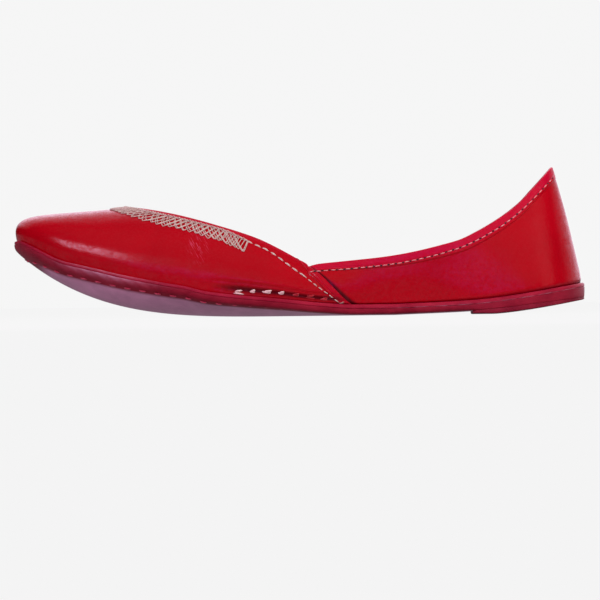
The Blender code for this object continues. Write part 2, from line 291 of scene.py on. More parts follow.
@dataclass(frozen=True)
class Last:
    """The straight last and the sole it stands on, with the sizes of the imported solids."""

    length: float = 255.0 * MM
    ball_width: float = 82.0 * MM
    waist_width: float = 57.0 * MM
    heel_width: float = 60.0 * MM
    collar_width: float = 55.0 * MM
    instep_height: float = 48.5 * MM
    notch_height: float = 22.0 * MM
    heel_height: float = 65.0 * MM
    toe_spring: float = 30.9 * MM
    heel_spring: float = 6.1 * MM
    heel_flat: float = 9.5 * MM
    side_rise: float = 10.3 * MM
    outsole: float = 2.6 * MM
    heel_thickening: float = 2.2 * MM
    midsole: float = 1.4 * MM
    lift: float = 0.6 * MM
    lift_step: float = 1.0 * MM
    insole: float = 2.0 * MM
    gap: float = 0.3 * MM
    toe_bulge: float = 1.4 * MM
    feather_inset: float = 3.4 * MM
    toe_break: float = 0.49
    waist_start: float = 2 / 3
    lift_front: float = 0.802
    throat: float = 0.203
    peak: float = 0.946
    upright_from: float = 0.5
    upright_to: float = 0.6
    notch: float = 0.514
    wing_foot: float = 0.594
    flat_share: float = 0.38

    def ribs(self) -> tuple[Rib, ...]:
        """Shapes of the ribs.

        Returns:
            Ribs from the toe to the heel.
        """
        return (
            Rib(0.00, 6.0, 90.0, 0.17, 0.7, 0.76),
            Rib(0.05, 4.2, 88.0, 0.14, 0.8, 0.82),
            Rib(0.10, 3.1, 82.0, 0.10, 0.9, 0.88),
            Rib(0.18, 2.4, 70.0, 0.05, 1.0, 0.97),
            Rib(0.30, 2.1, 60.0, 0.00, 1.0, 1.00),
            Rib(0.45, 1.9, 52.0, 0.00, 0.7, 0.94),
            Rib(0.55, 1.6, 50.0, 0.00, 0.4, 0.76),
            Rib(0.70, 1.4, 50.0, 0.00, 0.3, 0.62),
            Rib(0.85, 1.30, 50.0, 0.00, 0.1, 0.56),
            Rib(1.00, 1.14, 50.0, 0.00, 0.1, 0.38),
        )

    def rib(self, station: Array) -> Rib:
        """The rib shape read at stations, each field an array."""
        columns = list(zip(*self.ribs()))
        return Rib(*(smooth(np.array(columns[0]), np.array(column), station) for column in columns))

    def fullness(self, station: Array) -> Array:
        """Half width that the outline's oval is scaled to.

        Args:
            station: share of the length from the toe.

        Returns:
            The half width there.
        """
        ball, waist, heel = self.ball_width / 2, self.waist_width / 2, self.heel_width / 2
        rows = (
            (0.00, 1.20 * ball), (0.06, 1.13 * ball), (0.16, 1.09 * ball), (0.27, 1.07 * ball),
            (0.36, 1.04 * ball), (0.51, 0.90 * ball), (0.64, 1.10 * waist), (0.73, 1.15 * waist),
            (0.84, 1.38 * heel), (0.90, 1.62 * heel), (0.95, 1.88 * heel), (1.00, 2.02 * heel),
        )
        return table(rows, station)

    def station(self, x: Array) -> Array:
        """Share of the length at which x lies, 0 at the toe."""
        return np.clip(x / self.length + 0.5, 0.0, 1.0)

    def x_of(self, station: Array) -> Array:
        """Place along the length of a station."""
        return (np.asarray(station, float) - 0.5) * self.length

    def turn_of(self, station: Array) -> Array:
        """Angle about the outline, 0 at the toe and pi at the heel, of a station on the near side."""
        return np.arccos(1 - 2 * np.asarray(station, float))

    def half_width(self, station: Array) -> Array:
        """Half the sole's width: fullness times 2 sqrt(s (1 - s))."""
        return 2 * np.sqrt(station * (1 - station)) * self.fullness(station)

    def outline(self, turn: Array, inset: Array) -> tuple[Array, Array]:
        """The sole's outline from above, moved inwards along its own normal.

        Args:
            turn: angles from the toe along the near side (pi at the heel) and back along the far side.
            inset: distance inwards.

        Returns:
            x and y.
        """

        def edge(angle: Array) -> tuple[Array, Array]:
            """The outline itself: x by the cosine of the angle, y by its sine times the fullness."""
            station = (1 - np.cos(angle)) / 2
            return self.x_of(station), -np.sin(angle) * self.fullness(station)

        ahead, behind = edge(turn + 1e-4), edge(turn - 1e-4)
        along_x, along_y = ahead[0] - behind[0], ahead[1] - behind[1]
        size = np.hypot(along_x, along_y)
        x, y = edge(turn)
        return x - along_y / size * inset, y + along_x / size * inset

    def side_curl(self, x: Array, y: Array) -> Array:
        """How far the sole's sides curl up above its flat middle, by a power of the share across.

        Args:
            x: place along the shoe.
            y: place across it.

        Returns:
            The rise.
        """
        rows = (
            (0.00, 0.00), (0.01, 0.27), (0.04, 0.49), (0.08, 0.62), (0.12, 0.85), (0.16, 0.97),
            (0.21, 1.00), (0.29, 0.90), (0.34, 0.67), (0.41, 0.49), (0.47, 0.34), (0.54, 0.14),
            (0.60, 0.04), (0.73, 0.04), (0.90, 0.03), (1.00, 0.00),
        )
        station = self.station(x)
        across = np.clip(np.abs(y) / np.maximum(self.half_width(station), 1e-6), 0, 1)
        curl = np.clip((across - self.flat_share) / (1 - self.flat_share), 0, None) ** 1.8
        return self.side_rise * table(rows, station) * curl

    def underside(self, x: Array, y: Array) -> Array:
        """The outsole's underside: toe spring, flat tread, raised heel seat and curled sides.

        Args:
            x: place along the shoe.
            y: place across it.

        Returns:
            Its height.
        """
        station = self.station(x)
        toe = self.toe_spring * np.clip(1 - station / self.toe_break, 0, None) ** 3.65
        rows = (
            (self.waist_start, 0.0),
            (self.lift_front, self.lift_step + self.gap),
            (1.0, self.heel_spring + self.lift + self.gap),
        )
        return toe + table(rows, station) + self.side_curl(x, y)

    def outsole_top(self, x: Array, y: Array) -> Array:
        """Height of the outsole's upper face."""
        heel = np.clip((self.station(x) - self.waist_start) / (1 - self.waist_start), 0, None) ** 3
        return self.underside(x, y) + self.outsole + self.heel_thickening * heel

    def midsole_top(self, x: Array, y: Array) -> Array:
        """Height of the midsole's upper face."""
        return self.outsole_top(x, y) + self.gap + self.midsole

    def seat(self, x: Array, y: Array) -> Array:
        """Height at which the upper and the insole stand."""
        return self.midsole_top(x, y) + self.gap

    def insole_top(self, x: Array, y: Array) -> Array:
        """Height of the insole's upper face."""
        return self.seat(x, y) + self.insole

    def lift_foot(self, x: Array, y: Array) -> Array:
        """The heel lift's underside: flat on the floor, then sprung up.

        Args:
            x: place along the shoe.
            y: place across it.

        Returns:
            Its height.
        """
        start = self.lift_front + self.heel_flat / self.length
        spring = np.clip((self.station(x) - start) / (1 - start), 0, None) ** 1.35
        return self.heel_spring * spring + self.side_curl(x, y)

    def topline(self, turn: Array) -> Array:
        """The top edge, which stands back over the toe and forward at the heel.

        Args:
            turn: angle about the sole.

        Returns:
            x, y and z along a new last axis.
        """
        foot = (1 - np.cos(turn)) / 2
        back = self.throat * np.clip(1 - foot / self.upright_from, 0, None) ** 1.8
        lean = np.clip((foot - self.upright_to) / (1 - self.upright_to), 0, None) ** 3
        station = foot + back - (1 - self.peak) * lean
        along = np.clip((station - self.throat) / (self.peak - self.throat), 0, 1)
        collar = (
            (0.00, 1.23), (0.10, 1.08), (0.25, 1.015), (0.42, 0.995), (0.60, 1.02), (0.75, 1.11),
            (0.90, 1.24), (1.00, 1.18),
        )
        vamp = (
            (self.throat, 1.000), (0.220, 0.985), (0.255, 0.932), (0.290, 0.860), (0.325, 0.771),
            (0.360, 0.671), (0.395, 0.565), (0.430, 0.440), (0.465, 0.272), (0.500, 0.081),
            (self.notch, 0.000),
        )
        quarter = (
            (self.notch, 0.000), (0.536, 0.024), (0.571, 0.043), (0.641, 0.080), (0.676, 0.108),
            (0.711, 0.147), (0.746, 0.196), (0.782, 0.256), (0.818, 0.358), (0.853, 0.481),
            (0.889, 0.643), (0.907, 0.757), (0.925, 0.870), (self.peak, 1.000),
        )
        wide = table(collar, along) * self.collar_width / 2
        y = -np.sign(np.sin(turn)) * 2 * np.sqrt(along * (1 - along)) * wide
        z = self.notch_height + table(vamp, station) * (self.instep_height - self.notch_height)
        z = z + table(quarter, station) * (self.heel_height - self.notch_height)
        return np.stack([self.x_of(station), y, z], axis=-1)

    def point(self, turn: Array, climb: Array) -> Array:
        """The last's surface: ribs that are quarters of superellipses, cut at an angle.

        Args:
            turn: angle about the sole.
            climb: share of the climb, 0 at the sole and 1 at the top edge.

        Returns:
            x, y and z along a new last axis.
        """
        station = (1 - np.cos(turn)) / 2
        rib = self.rib(station)
        inset = rib.inset * self.feather_inset
        foot_x, foot_y = self.outline(turn, inset)
        edge_x, edge_y = self.outline(turn, np.zeros(1))
        foot_z = self.seat(foot_x, foot_y)
        top = self.topline(turn)
        end = np.radians(rib.end)
        angle = end * climb**2 * (3 - 2 * climb)
        power = 2 / rib.squareness
        along = (1 - np.cos(angle) ** power) / (1 - np.cos(end) ** power)
        up = np.sin(angle) ** power / np.sin(end) ** power
        swell = self.toe_bulge * rib.bulge * np.sin(math.pi * up) / inset
        x = foot_x + (top[..., 0] - foot_x) * along + (edge_x - foot_x) * swell
        y = foot_y + (top[..., 1] - foot_y) * along + (edge_y - foot_y) * swell
        z = foot_z + (top[..., 2] - foot_z) * ((1 - rib.ramp) * up + rib.ramp * along**2)
        return np.stack([x, y, z], axis=-1)

    def lines(self, foot_turn: Array, top_turn: Array, samples: int = 300) -> tuple[Array, Array]:
        """Lines up the last that slant from one angle at the sole to another at the top.

        Args:
            foot_turn: angles at the sole.
            top_turn: angles at the top edge.
            samples: points on each line.

        Returns:
            Points and outward normals, both (line, sample, 3).
        """
        climb = np.linspace(0, 1, samples)[None, :]
        turn = foot_turn[:, None] + (top_turn - foot_turn)[:, None] * climb**2 * (3 - 2 * climb)
        points = self.point(turn, climb)
        around = self.point(turn + 1e-3, climb) - self.point(turn - 1e-3, climb)
        return points, unit(np.cross(around, np.gradient(points, axis=1)))


# Shader helpers and finishes


class Shader:
    """A material's nodes, with short calls to add and link them."""

    def __init__(self, name: str) -> None:
        """Makes a material with one Principled shader.

        Args:
            name: the material's name.
        """
        self.material = bpy.data.materials.new(name)
        self.material.use_nodes = True
        self.tree = self.material.node_tree
        self.surface = self.tree.nodes["Principled BSDF"]

    def set(self, values: dict[str, float]) -> None:
        """Sets inputs of the Principled shader by name."""
        for key, value in values.items():
            self.surface.inputs[key].default_value = value

    def node(self, kind: str, **settings: object) -> bpy.types.Node:
        """Adds a node.

        Args:
            kind: its Blender type.
            settings: properties; a dict named sockets sets input values by name or number.

        Returns:
            The node.
        """
        return add_node(self.tree, kind, **settings)

    def link(self, source: Socket, target: Socket | str) -> None:
        """Links a socket to another, or to a named input of the Principled shader."""
        self.tree.links.new(source, self.surface.inputs[target] if isinstance(target, str) else target)

    def value(self, key: str) -> Socket:
        """A number that the piece carries on its points."""
        return self.node("ShaderNodeAttribute", attribute_name=key).outputs["Fac"]

    def place(self) -> Socket:
        """Object coordinates."""
        return self.node("ShaderNodeTexCoord").outputs["Object"]

    def group(self, group: Tree, **values: float) -> bpy.types.Node:
        """Places a node group on object coordinates.

        Args:
            group: the group.
            values: its number inputs.

        Returns:
            The placed node.
        """
        placed = self.node("ShaderNodeGroup", node_tree=group)
        self.link(self.place(), placed.inputs["Vector"])
        for key, number in values.items():
            placed.inputs[key].default_value = number
        return placed

    def mix(
        self,
        factor: Socket,
        a: Socket | Triple,
        b: Socket | Triple,
    ) -> Socket:
        """Mixes two colours by a factor.

        Args:
            factor: 0 gives a, 1 gives b.
            a: a socket or a plain colour.
            b: a socket or a plain colour.

        Returns:
            The mixed colour's socket.
        """
        mixer = self.node("ShaderNodeMix", data_type="RGBA")
        self.link(factor, mixer.inputs[0])
        for number, color in ((6, a), (7, b)):
            if isinstance(color, tuple):
                mixer.inputs[number].default_value = (*color, 1.0)
            else:
                self.link(color, mixer.inputs[number])
        return mixer.outputs[2]

    def scaled(self, source: Socket, low: float, high: float) -> Socket:
        """Stretches a number from 0 to 1 to a range.

        Args:
            source: the number.
            low: value at 0.
            high: value at 1.

        Returns:
            The new number's socket.
        """
        ranger = self.node("ShaderNodeMapRange")
        self.link(source, ranger.inputs["Value"])
        ranger.inputs["To Min"].default_value = low
        ranger.inputs["To Max"].default_value = high
        return ranger.outputs["Result"]

    def bump(self, height: Socket, strength: float, depth: float) -> None:
        """Bumps the surface.

        Args:
            height: from 0 to 1.
            strength: of the effect.
            depth: in metres.
        """
        bump = self.node("ShaderNodeBump", sockets={"Strength": strength, "Distance": depth})
        self.link(height, bump.inputs["Height"])
        self.link(bump.outputs["Normal"], "Normal")


def add_node(tree: Tree, kind: str, **settings: object) -> bpy.types.Node:
    """Adds a node to a tree.

    Args:
        tree: the tree.
        kind: the node's Blender type.
        settings: properties; a dict named sockets sets input values by name or number.

    Returns:
        The node.
    """
    made = tree.nodes.new(kind)
    sockets = settings.pop("sockets", {})
    for key, value in settings.items():
        setattr(made, key, value)
    for key, value in sockets.items():
        made.inputs[key].default_value = value
    return made


def wire(tree: Tree, *pairs: tuple[Socket, Socket]) -> None:
    """Links pairs of sockets in a tree, each from an output to an input."""
    for source, target in pairs:
        tree.links.new(source, target)


class Effects:
    """Node groups that the finishes share: leather grain, uneven dye and fine scratches."""

    def __init__(self) -> None:
        """Builds each group once."""
        self.grain = self._grain()
        self.mottle = self._mottle()
        self.scratch = self._scratch()

    @staticmethod
    def _tree(name: str, numbers: dict[str, float], outputs: tuple[str, ...]) -> tuple:
        """Starts a group with a Vector input, number inputs and number outputs.

        Args:
            name: the group's name.
            numbers: number inputs and their values.
            outputs: names of the outputs.

        Returns:
            The tree, its input node and its output node.
        """
        tree = bpy.data.node_groups.new(name, "ShaderNodeTree")
        tree.interface.new_socket("Vector", in_out="INPUT", socket_type="NodeSocketVector")
        for key, number in numbers.items():
            socket = tree.interface.new_socket(key, in_out="INPUT", socket_type="NodeSocketFloat")
            socket.default_value = number
        for key in outputs:
            tree.interface.new_socket(key, in_out="OUTPUT", socket_type="NodeSocketFloat")
        return tree, tree.nodes.new("NodeGroupInput"), tree.nodes.new("NodeGroupOutput")

    def _grain(self) -> Tree:
        """Pores between small cells, softened by noise: the height of tanned and glazed hide.

        Returns:
            The group.
        """
        tree, start, end = self._tree("leather_grain", {"Cells": 900.0, "Pores": 0.5}, ("Height",))
        cells = add_node(tree, "ShaderNodeTexVoronoi", feature="DISTANCE_TO_EDGE")
        cloud = add_node(tree, "ShaderNodeTexNoise", sockets={"Detail": 4.0, "Roughness": 0.6})
        edge = add_node(tree, "ShaderNodeMapRange", sockets={"From Max": 0.12})
        half = add_node(tree, "ShaderNodeMath", operation="MULTIPLY", sockets={1: 1.7})
        mixer = add_node(tree, "ShaderNodeMix", data_type="FLOAT")
        wire(
            tree,
            (start.outputs["Vector"], cells.inputs["Vector"]),
            (start.outputs["Vector"], cloud.inputs["Vector"]),
            (start.outputs["Cells"], cells.inputs["Scale"]),
            (start.outputs["Cells"], half.inputs[0]),
            (half.outputs[0], cloud.inputs["Scale"]),
            (cells.outputs["Distance"], edge.inputs["Value"]),
            (start.outputs["Pores"], mixer.inputs[0]),
            (cloud.outputs["Fac"], mixer.inputs[2]),
            (edge.outputs["Result"], mixer.inputs[3]),
            (mixer.outputs[0], end.inputs["Height"]),
        )
        return tree

    def _mottle(self) -> Tree:
        """Soft blotches of several sizes, sharpened by a contrast: uneven dye, rubbing and dust.

        Returns:
            The group.
        """
        tree, start, end = self._tree("uneven_dye", {"Blotches": 40.0, "Contrast": 0.25}, ("Mask",))
        shape = {"Detail": 5.0, "Roughness": 0.62, "Distortion": 0.4}
        cloud = add_node(tree, "ShaderNodeTexNoise", sockets=shape)
        low = add_node(tree, "ShaderNodeMath", operation="SUBTRACT", sockets={0: 0.5})
        high = add_node(tree, "ShaderNodeMath", operation="ADD", sockets={0: 0.5})
        ranger = add_node(tree, "ShaderNodeMapRange")
        wire(
            tree,
            (start.outputs["Vector"], cloud.inputs["Vector"]),
            (start.outputs["Blotches"], cloud.inputs["Scale"]),
            (start.outputs["Contrast"], low.inputs[1]),
            (start.outputs["Contrast"], high.inputs[1]),
            (cloud.outputs["Fac"], ranger.inputs["Value"]),
            (low.outputs[0], ranger.inputs["From Min"]),
            (high.outputs[0], ranger.inputs["From Max"]),
            (ranger.outputs["Result"], end.inputs["Mask"]),
        )
        return tree

    def _scratch(self) -> Tree:
        """Fine slanting scratches on the vamp's side: noise drawn out along them, in a small patch.

        Returns:
            The group.
        """
        tree, start, end = self._tree("vamp_scratches", {"Patch": 0.0075}, ("Mask",))

        def vector(operation: str, with_value: Triple = (0.0, 0.0, 0.0)) -> bpy.types.Node:
            """Adds vector arithmetic with a fixed second vector."""
            return add_node(tree, "ShaderNodeVectorMath", operation=operation, sockets={1: with_value})

        along = vector("DOT_PRODUCT", (110.0, 0.0, -190.0))
        across = vector("DOT_PRODUCT", (2300.0, 0.0, 1300.0))
        joined = add_node(tree, "ShaderNodeCombineXYZ")
        streaks = add_node(tree, "ShaderNodeTexNoise", sockets={"Scale": 1.0, "Detail": 1.0})
        thin = add_node(tree, "ShaderNodeMapRange", sockets={"From Min": 0.56, "From Max": 0.68})
        away = vector("SUBTRACT", (-0.0450, 0.0, 0.0311))
        flat = vector("MULTIPLY", (1.3, 0.0, 0.9))
        reach = vector("LENGTH")
        fade = {"From Min": 0.001, "To Min": 1.0, "To Max": 0.0}
        patch = add_node(tree, "ShaderNodeMapRange", sockets=fade)
        product = add_node(tree, "ShaderNodeMath", operation="MULTIPLY")
        wire(
            tree,
            (start.outputs["Vector"], along.inputs[0]),
            (start.outputs["Vector"], across.inputs[0]),
            (along.outputs["Value"], joined.inputs["X"]),
            (across.outputs["Value"], joined.inputs["Z"]),
            (joined.outputs[0], streaks.inputs["Vector"]),
            (streaks.outputs["Fac"], thin.inputs["Value"]),
            (start.outputs["Vector"], away.inputs[0]),
            (away.outputs[0], flat.inputs[0]),
            (flat.outputs[0], reach.inputs[0]),
            (reach.outputs["Value"], patch.inputs["Value"]),
            (start.outputs["Patch"], patch.inputs["From Max"]),
            (thin.outputs["Result"], product.inputs[0]),
            (patch.outputs["Result"], product.inputs[1]),
            (product.outputs[0], end.inputs["Mask"]),
        )
        return tree


@dataclass(frozen=True)
class GlazedLeather:
    """The upper's red hide: dyed through and glazed, with a redder matt strip along its folded edges."""

    effects: Effects
    red: Triple = (0.45, 0.0002, 0.0075)
    deep: Triple = (0.36, 0.0002, 0.0055)
    strip: Triple = (0.50, 0.0008, 0.024)
    # Painted shade colour for the foot, the lasting groove, the wing's shadow and the fold lines.
    painted_shade: Triple = (0.085, 0.0006, 0.004)
    scuff: Triple = (0.62, 0.07, 0.14)
    gloss: float = 0.26
    matt: float = 0.42

    def build(self) -> Material:
        """Makes the material.

        Returns:
            The material, which reads the piece's numbers strip (folded edges) and painted shade (foot,
            grooves, behind the wing's edge, fold lines).
        """
        shader = Shader("red_glazed_leather")
        shader.set({"Coat Roughness": 0.17, "Specular IOR Level": 0.04})
        smear = shader.group(self.effects.mottle, Blotches=620.0, Contrast=0.12)
        shader.link(shader.scaled(smear.outputs["Mask"], 0.72, 0.16), "Coat Weight")
        dye = shader.group(self.effects.mottle, Blotches=26.0, Contrast=0.3)
        rub = shader.group(self.effects.mottle, Blotches=1100.0, Contrast=0.12)
        grain = shader.group(self.effects.grain, Cells=1500.0, Pores=0.45)
        body = shader.mix(dye.outputs["Mask"], self.red, self.deep)
        scratches = shader.group(self.effects.scratch)
        body = shader.mix(scratches.outputs["Mask"], body, self.scuff)
        edged = shader.mix(shader.value("strip"), body, self.strip)
        # Painted shade: the piece's shade number darkens the red towards this dark colour.
        shader.link(shader.mix(shader.value("painted_shade"), edged, self.painted_shade), "Base Color")
        polish = shader.scaled(rub.outputs["Mask"], self.gloss - 0.05, self.gloss + 0.06)
        mixer = shader.node("ShaderNodeMix", data_type="FLOAT")
        shader.link(shader.value("strip"), mixer.inputs[0])
        shader.link(polish, mixer.inputs[2])
        mixer.inputs[3].default_value = self.matt
        shader.link(mixer.outputs[0], "Roughness")
        shader.bump(grain.outputs["Height"], 0.35, 0.00006)
        return shader.material


@dataclass(frozen=True)
class SoleLeather:
    """Maroon sole leather: darker and duller along the sides; greyer and waxed underneath, the grey partly
    painted reflection of the floor.
    """

    effects: Effects
    name: str
    side: Triple
    below: Triple
    side_roughness: float
    below_roughness: float

    def build(self) -> Material:
        """Makes the material.

        Returns:
            The material, which reads the piece's number below, 1 on the waxed underside, whose grey is
            partly painted floor reflection.
        """
        shader = Shader(self.name)
        shader.set({"Coat Weight": 0.1, "Coat Roughness": 0.25, "Specular IOR Level": 0.1})
        wear = shader.group(self.effects.mottle, Blotches=90.0, Contrast=0.22)
        grain = shader.group(self.effects.grain, Cells=1100.0, Pores=0.6)
        light = tuple(min(1.0, 1.7 * part + 0.01) for part in self.side)
        pale = tuple(min(1.0, 1.35 * part + 0.02) for part in self.below)
        side = shader.mix(wear.outputs["Mask"], self.side, light)
        under = shader.mix(wear.outputs["Mask"], self.below, pale)
        # The underside colour is partly painted floor reflection; on the edges the same mix paints the
        # highlight and shows wear.
        shader.link(shader.mix(shader.value("below"), side, under), "Base Color")
        roughness = shader.scaled(shader.value("below"), self.side_roughness, self.below_roughness)
        shader.link(roughness, "Roughness")
        shader.bump(grain.outputs["Height"], 0.5, 0.00012)
        return shader.material


@dataclass(frozen=True)
class Lining:
    """Plain tan lining leather inside the shoe."""

    effects: Effects
    tan: Triple = (0.52, 0.30, 0.16)
    worn: Triple = (0.40, 0.21, 0.10)

    def build(self) -> Material:
        """Makes the material.

        Returns:
            The material.
        """
        shader = Shader("tan_lining_leather")
        wear = shader.group(self.effects.mottle, Blotches=55.0, Contrast=0.25)
        grain = shader.group(self.effects.grain, Cells=800.0, Pores=0.7)
        shader.link(shader.mix(wear.outputs["Mask"], self.tan, self.worn), "Base Color")
        shader.set({"Roughness": 0.62})
        shader.bump(grain.outputs["Height"], 0.5, 0.0001)
        return shader.material


@dataclass(frozen=True)
class Thread:
    """Twisted thread, its colour speckled between a painted highlight tone and a painted shade tone."""

    effects: Effects
    name: str
    lit_tone: Triple
    shaded_tone: Triple
    roughness: float = 0.55

    def build(self) -> Material:
        """Makes the material, with short fibres as bump.

        Returns:
            The material.
        """
        shader = Shader(self.name)
        shader.set({"Sheen Weight": 0.3, "Roughness": self.roughness})
        fibre = shader.group(self.effects.mottle, Blotches=1900.0, Contrast=0.2)
        # Painted highlight and shade: fibre speckle mixes the thread's lit tone with its shaded tone.
        shader.link(shader.mix(fibre.outputs["Mask"], self.lit_tone, self.shaded_tone), "Base Color")
        shader.bump(fibre.outputs["Mask"], 0.4, 0.00008)
        return shader.material


# The upper


@dataclass
class Upper:
    """The red upper: vamp with wings over the quarters, folded top edge, and its tan lining."""

    last: Last
    leather: Material
    lining: Material
    quarter_wall: float = 1.3 * MM
    vamp_wall: float = 1.0 * MM
    edge_round: float = 0.5 * MM
    fold_width: float = 5.0 * MM
    stitch_line: float = 3.5 * MM
    wing_stitch_line: float = 2.7 * MM
    wing_slant: float = 0.64
    wing_round: float = 0.9 * MM
    wing_press: float = 0.45 * MM
    wing_fold_width: float = 3.75 * MM
    fold_height: float = 0.22 * MM
    seam_depth: float = 0.2 * MM
    pinch_depth: float = 1.0 * MM
    foot_turn: float = 0.55 * MM
    trough_depth: float = 0.45 * MM
    wave_depth: float = 0.16 * MM
    vamp_columns: tuple[int, int] = (185, 36)
    quarter_columns: tuple[int, int] = (20, 148)
    close_from: float = 0.965
    close_to: float = 0.03
    body_rows: int = 54
    edge_zone: float = 6.0 * MM
    edge_rows: int = 22
    rim_rows: int = 7
    lining_rows: int = 16

    def columns(self) -> tuple[Array, Array, Array, Array]:
        """Angles of the columns round the shoe, at the sole and at the top, close together at the wings.

        Returns:
            Angles at the sole, angles at the top, 1 on the vamp and 0 on the quarters, and the wing
            column's number at each column's side.
        """
        foot_wing, top_wing = self.last.turn_of(self.last.wing_foot), self.last.turn_of(self.last.notch)
        (wide, close), (close_back, wide_back) = self.vamp_columns, self.quarter_columns
        ahead, behind = np.linspace(0, self.close_from, wide), np.linspace(self.close_from, 1, close)
        front = np.concatenate([ahead, behind[1:]])
        ahead, behind = np.linspace(0, self.close_to, close_back), np.linspace(self.close_to, 1, wide_back)
        back = np.concatenate([ahead, behind[1:]])
        foot = np.concatenate([front * foot_wing, foot_wing + back * (math.pi - foot_wing)])
        top = np.concatenate([front * top_wing, top_wing + back * (math.pi - top_wing)])
        vamp = np.repeat([1.0, 0.0], [len(front), len(back)])
        count, near_wing = len(foot), len(front) - 1
        wing = np.repeat([near_wing, 2 * count - 2 - near_wing], [count, count - 2])
        foot, top = (np.concatenate([turn, 2 * math.pi - turn[-2:0:-1]]) for turn in (foot, top))
        return foot, top, np.concatenate([vamp, vamp[-2:0:-1]]), wing

    def relief(self, points: Array, up: Array, down: Array, ahead: Array, vamp: Array) -> Array:
        """Height of the leather's face over the last, in metres.

        The wall's step, the folded strips with their seams, the pinch along the lasting stitches, the turn
        under at the sole, soft troughs where the shoe was flexed, and the slow waves of a hand-lasted hide.

        Args:
            points: places on the last.
            up: distance from the sole.
            down: distance from the top edge.
            ahead: distance in front of the wing's edge.
            vamp: 1 on the vamp.

        Returns:
            Heights along the outward normal.
        """
        station = self.last.station(points[..., 0])
        edge = np.clip(ahead / self.wing_round, 0, 1)
        height = vamp * self.vamp_wall * (0.35 + 0.65 * np.sqrt(1 - (1 - edge) ** 2))
        fold = 1 - step_up(down, self.fold_width - 0.2 * MM, self.fold_width + 0.15 * MM)
        seam = bump_at(down, self.stitch_line, 0.45 * MM)
        press = self.wing_press * bump_at(ahead, 0.0, 1.4 * MM)
        height = height + (1 - vamp) * (self.fold_height * fold - self.seam_depth * seam - press)
        wing_zone = vamp * step_up(station, 0.36, 0.42)
        wing_fold = 1 - step_up(ahead, self.wing_fold_width - 0.15 * MM, self.wing_fold_width + 0.15 * MM)
        wing_fold = self.seam_depth * wing_fold
        wing_seam = self.fold_height * bump_at(ahead, self.wing_stitch_line, 0.4 * MM)
        height = height + wing_zone * (wing_fold - wing_seam)
        lasting = step_up(station, 0.33, 0.40) * (1 - step_up(station, 0.53, 0.585)) * vamp
        pinch = bump_at(up, 3.6 * MM, 1.6 * MM) + 0.35 * bump_at(up, 7.0 * MM, 0.8 * MM)
        height = height - self.pinch_depth * lasting * pinch
        height = height - self.foot_turn * bump_at(up, 0.0, 1.0 * MM)
        height = height - self.trough_depth * self.flex_troughs(points, station)
        x, y, z = points[..., 0], points[..., 1], points[..., 2]
        wave = np.sin(61 * x + 90 * z + 1.1) * np.sin(38 * x - 120 * z + 43 * y)
        wave = wave + 0.6 * np.sin(140 * x + 70 * y + 0.4) * np.sin(160 * z + 55 * y + 2.0)
        quiet = step_up(up, 0.0, 8 * MM) * step_up(down, 2 * MM, 12 * MM)
        return height + self.wave_depth * wave * quiet

    @staticmethod
    def flex_troughs(points: Array, station: Array) -> Array:
        """Shallow troughs across the vamp's sides where the shoe bends, as slanted soft bells.

        Args:
            points: places on the last.
            station: their stations.

        Returns:
            Depths from 0 to 1.
        """
        slant = station - 0.9 * (points[..., 2] - 0.02)
        low = 1 - step_up(points[..., 2], 0.022, 0.036)
        return low * (0.5 * bump_at(slant, 0.300, 0.012) + 0.35 * bump_at(slant, 0.355, 0.010))

    def marks(self, points: Array, up: Array, down: Array, ahead: Array, vamp: Array) -> tuple[Array, Array]:
        """Where the red is a matt strip, and where painted shade darkens it: at the foot, in the lasting
        groove, behind the wing's edge and along the fold lines.

        Args:
            points: places on the last.
            up: distance from the sole.
            down: distance from the top edge.
            ahead: distance in front of the wing's edge.
            vamp: 1 on the vamp.

        Returns:
            The strip and the painted shade, from 0 to 1.
        """
        strip = (1 - vamp) * (1 - step_up(down, 3.6 * MM, 4.2 * MM))
        wing_strip = vamp * (1 - step_up(ahead, 2.9 * MM, 3.3 * MM)) * 0.3
        throat_strip = vamp * (1 - step_up(down, 2.0 * MM, 2.6 * MM)) * 0.4
        strip = np.maximum(np.maximum(strip, wing_strip), throat_strip)
        station = self.last.station(points[..., 0])
        groove = step_up(station, 0.34, 0.40) * (1 - step_up(station, 0.55, 0.59)) * vamp
        # Painted shade where the upper turns under at the foot, and in the lasting stitches' groove.
        painted_shade = 0.85 * bump_at(up, 0.0, 1.1 * MM) + groove * bump_at(up, 3.8 * MM, 1.8 * MM)
        painted_shade = painted_shade + 0.2 * groove * bump_at(up, 7.0 * MM, 0.5 * MM)
        # Painted shadow that the wing's edge casts on the quarter, widening downwards.
        shade_width = (0.6 + 1.3 * down / down[:, :1]) * MM
        painted_shade = painted_shade + (1 - vamp) * (1 - step_up(ahead / shade_width, 0.6, 1.4))
        # Painted shade along the fold lines of the quarter's strip and of the wing.
        fold_line = bump_at(down, self.fold_width, 0.22 * MM) * (1 - vamp)
        wing_line = bump_at(ahead, self.wing_fold_width, 0.2 * MM) * vamp * step_up(station, 0.40, 0.44)
        return strip, np.clip(painted_shade + 0.35 * fold_line + 0.35 * wing_line, 0, 1)

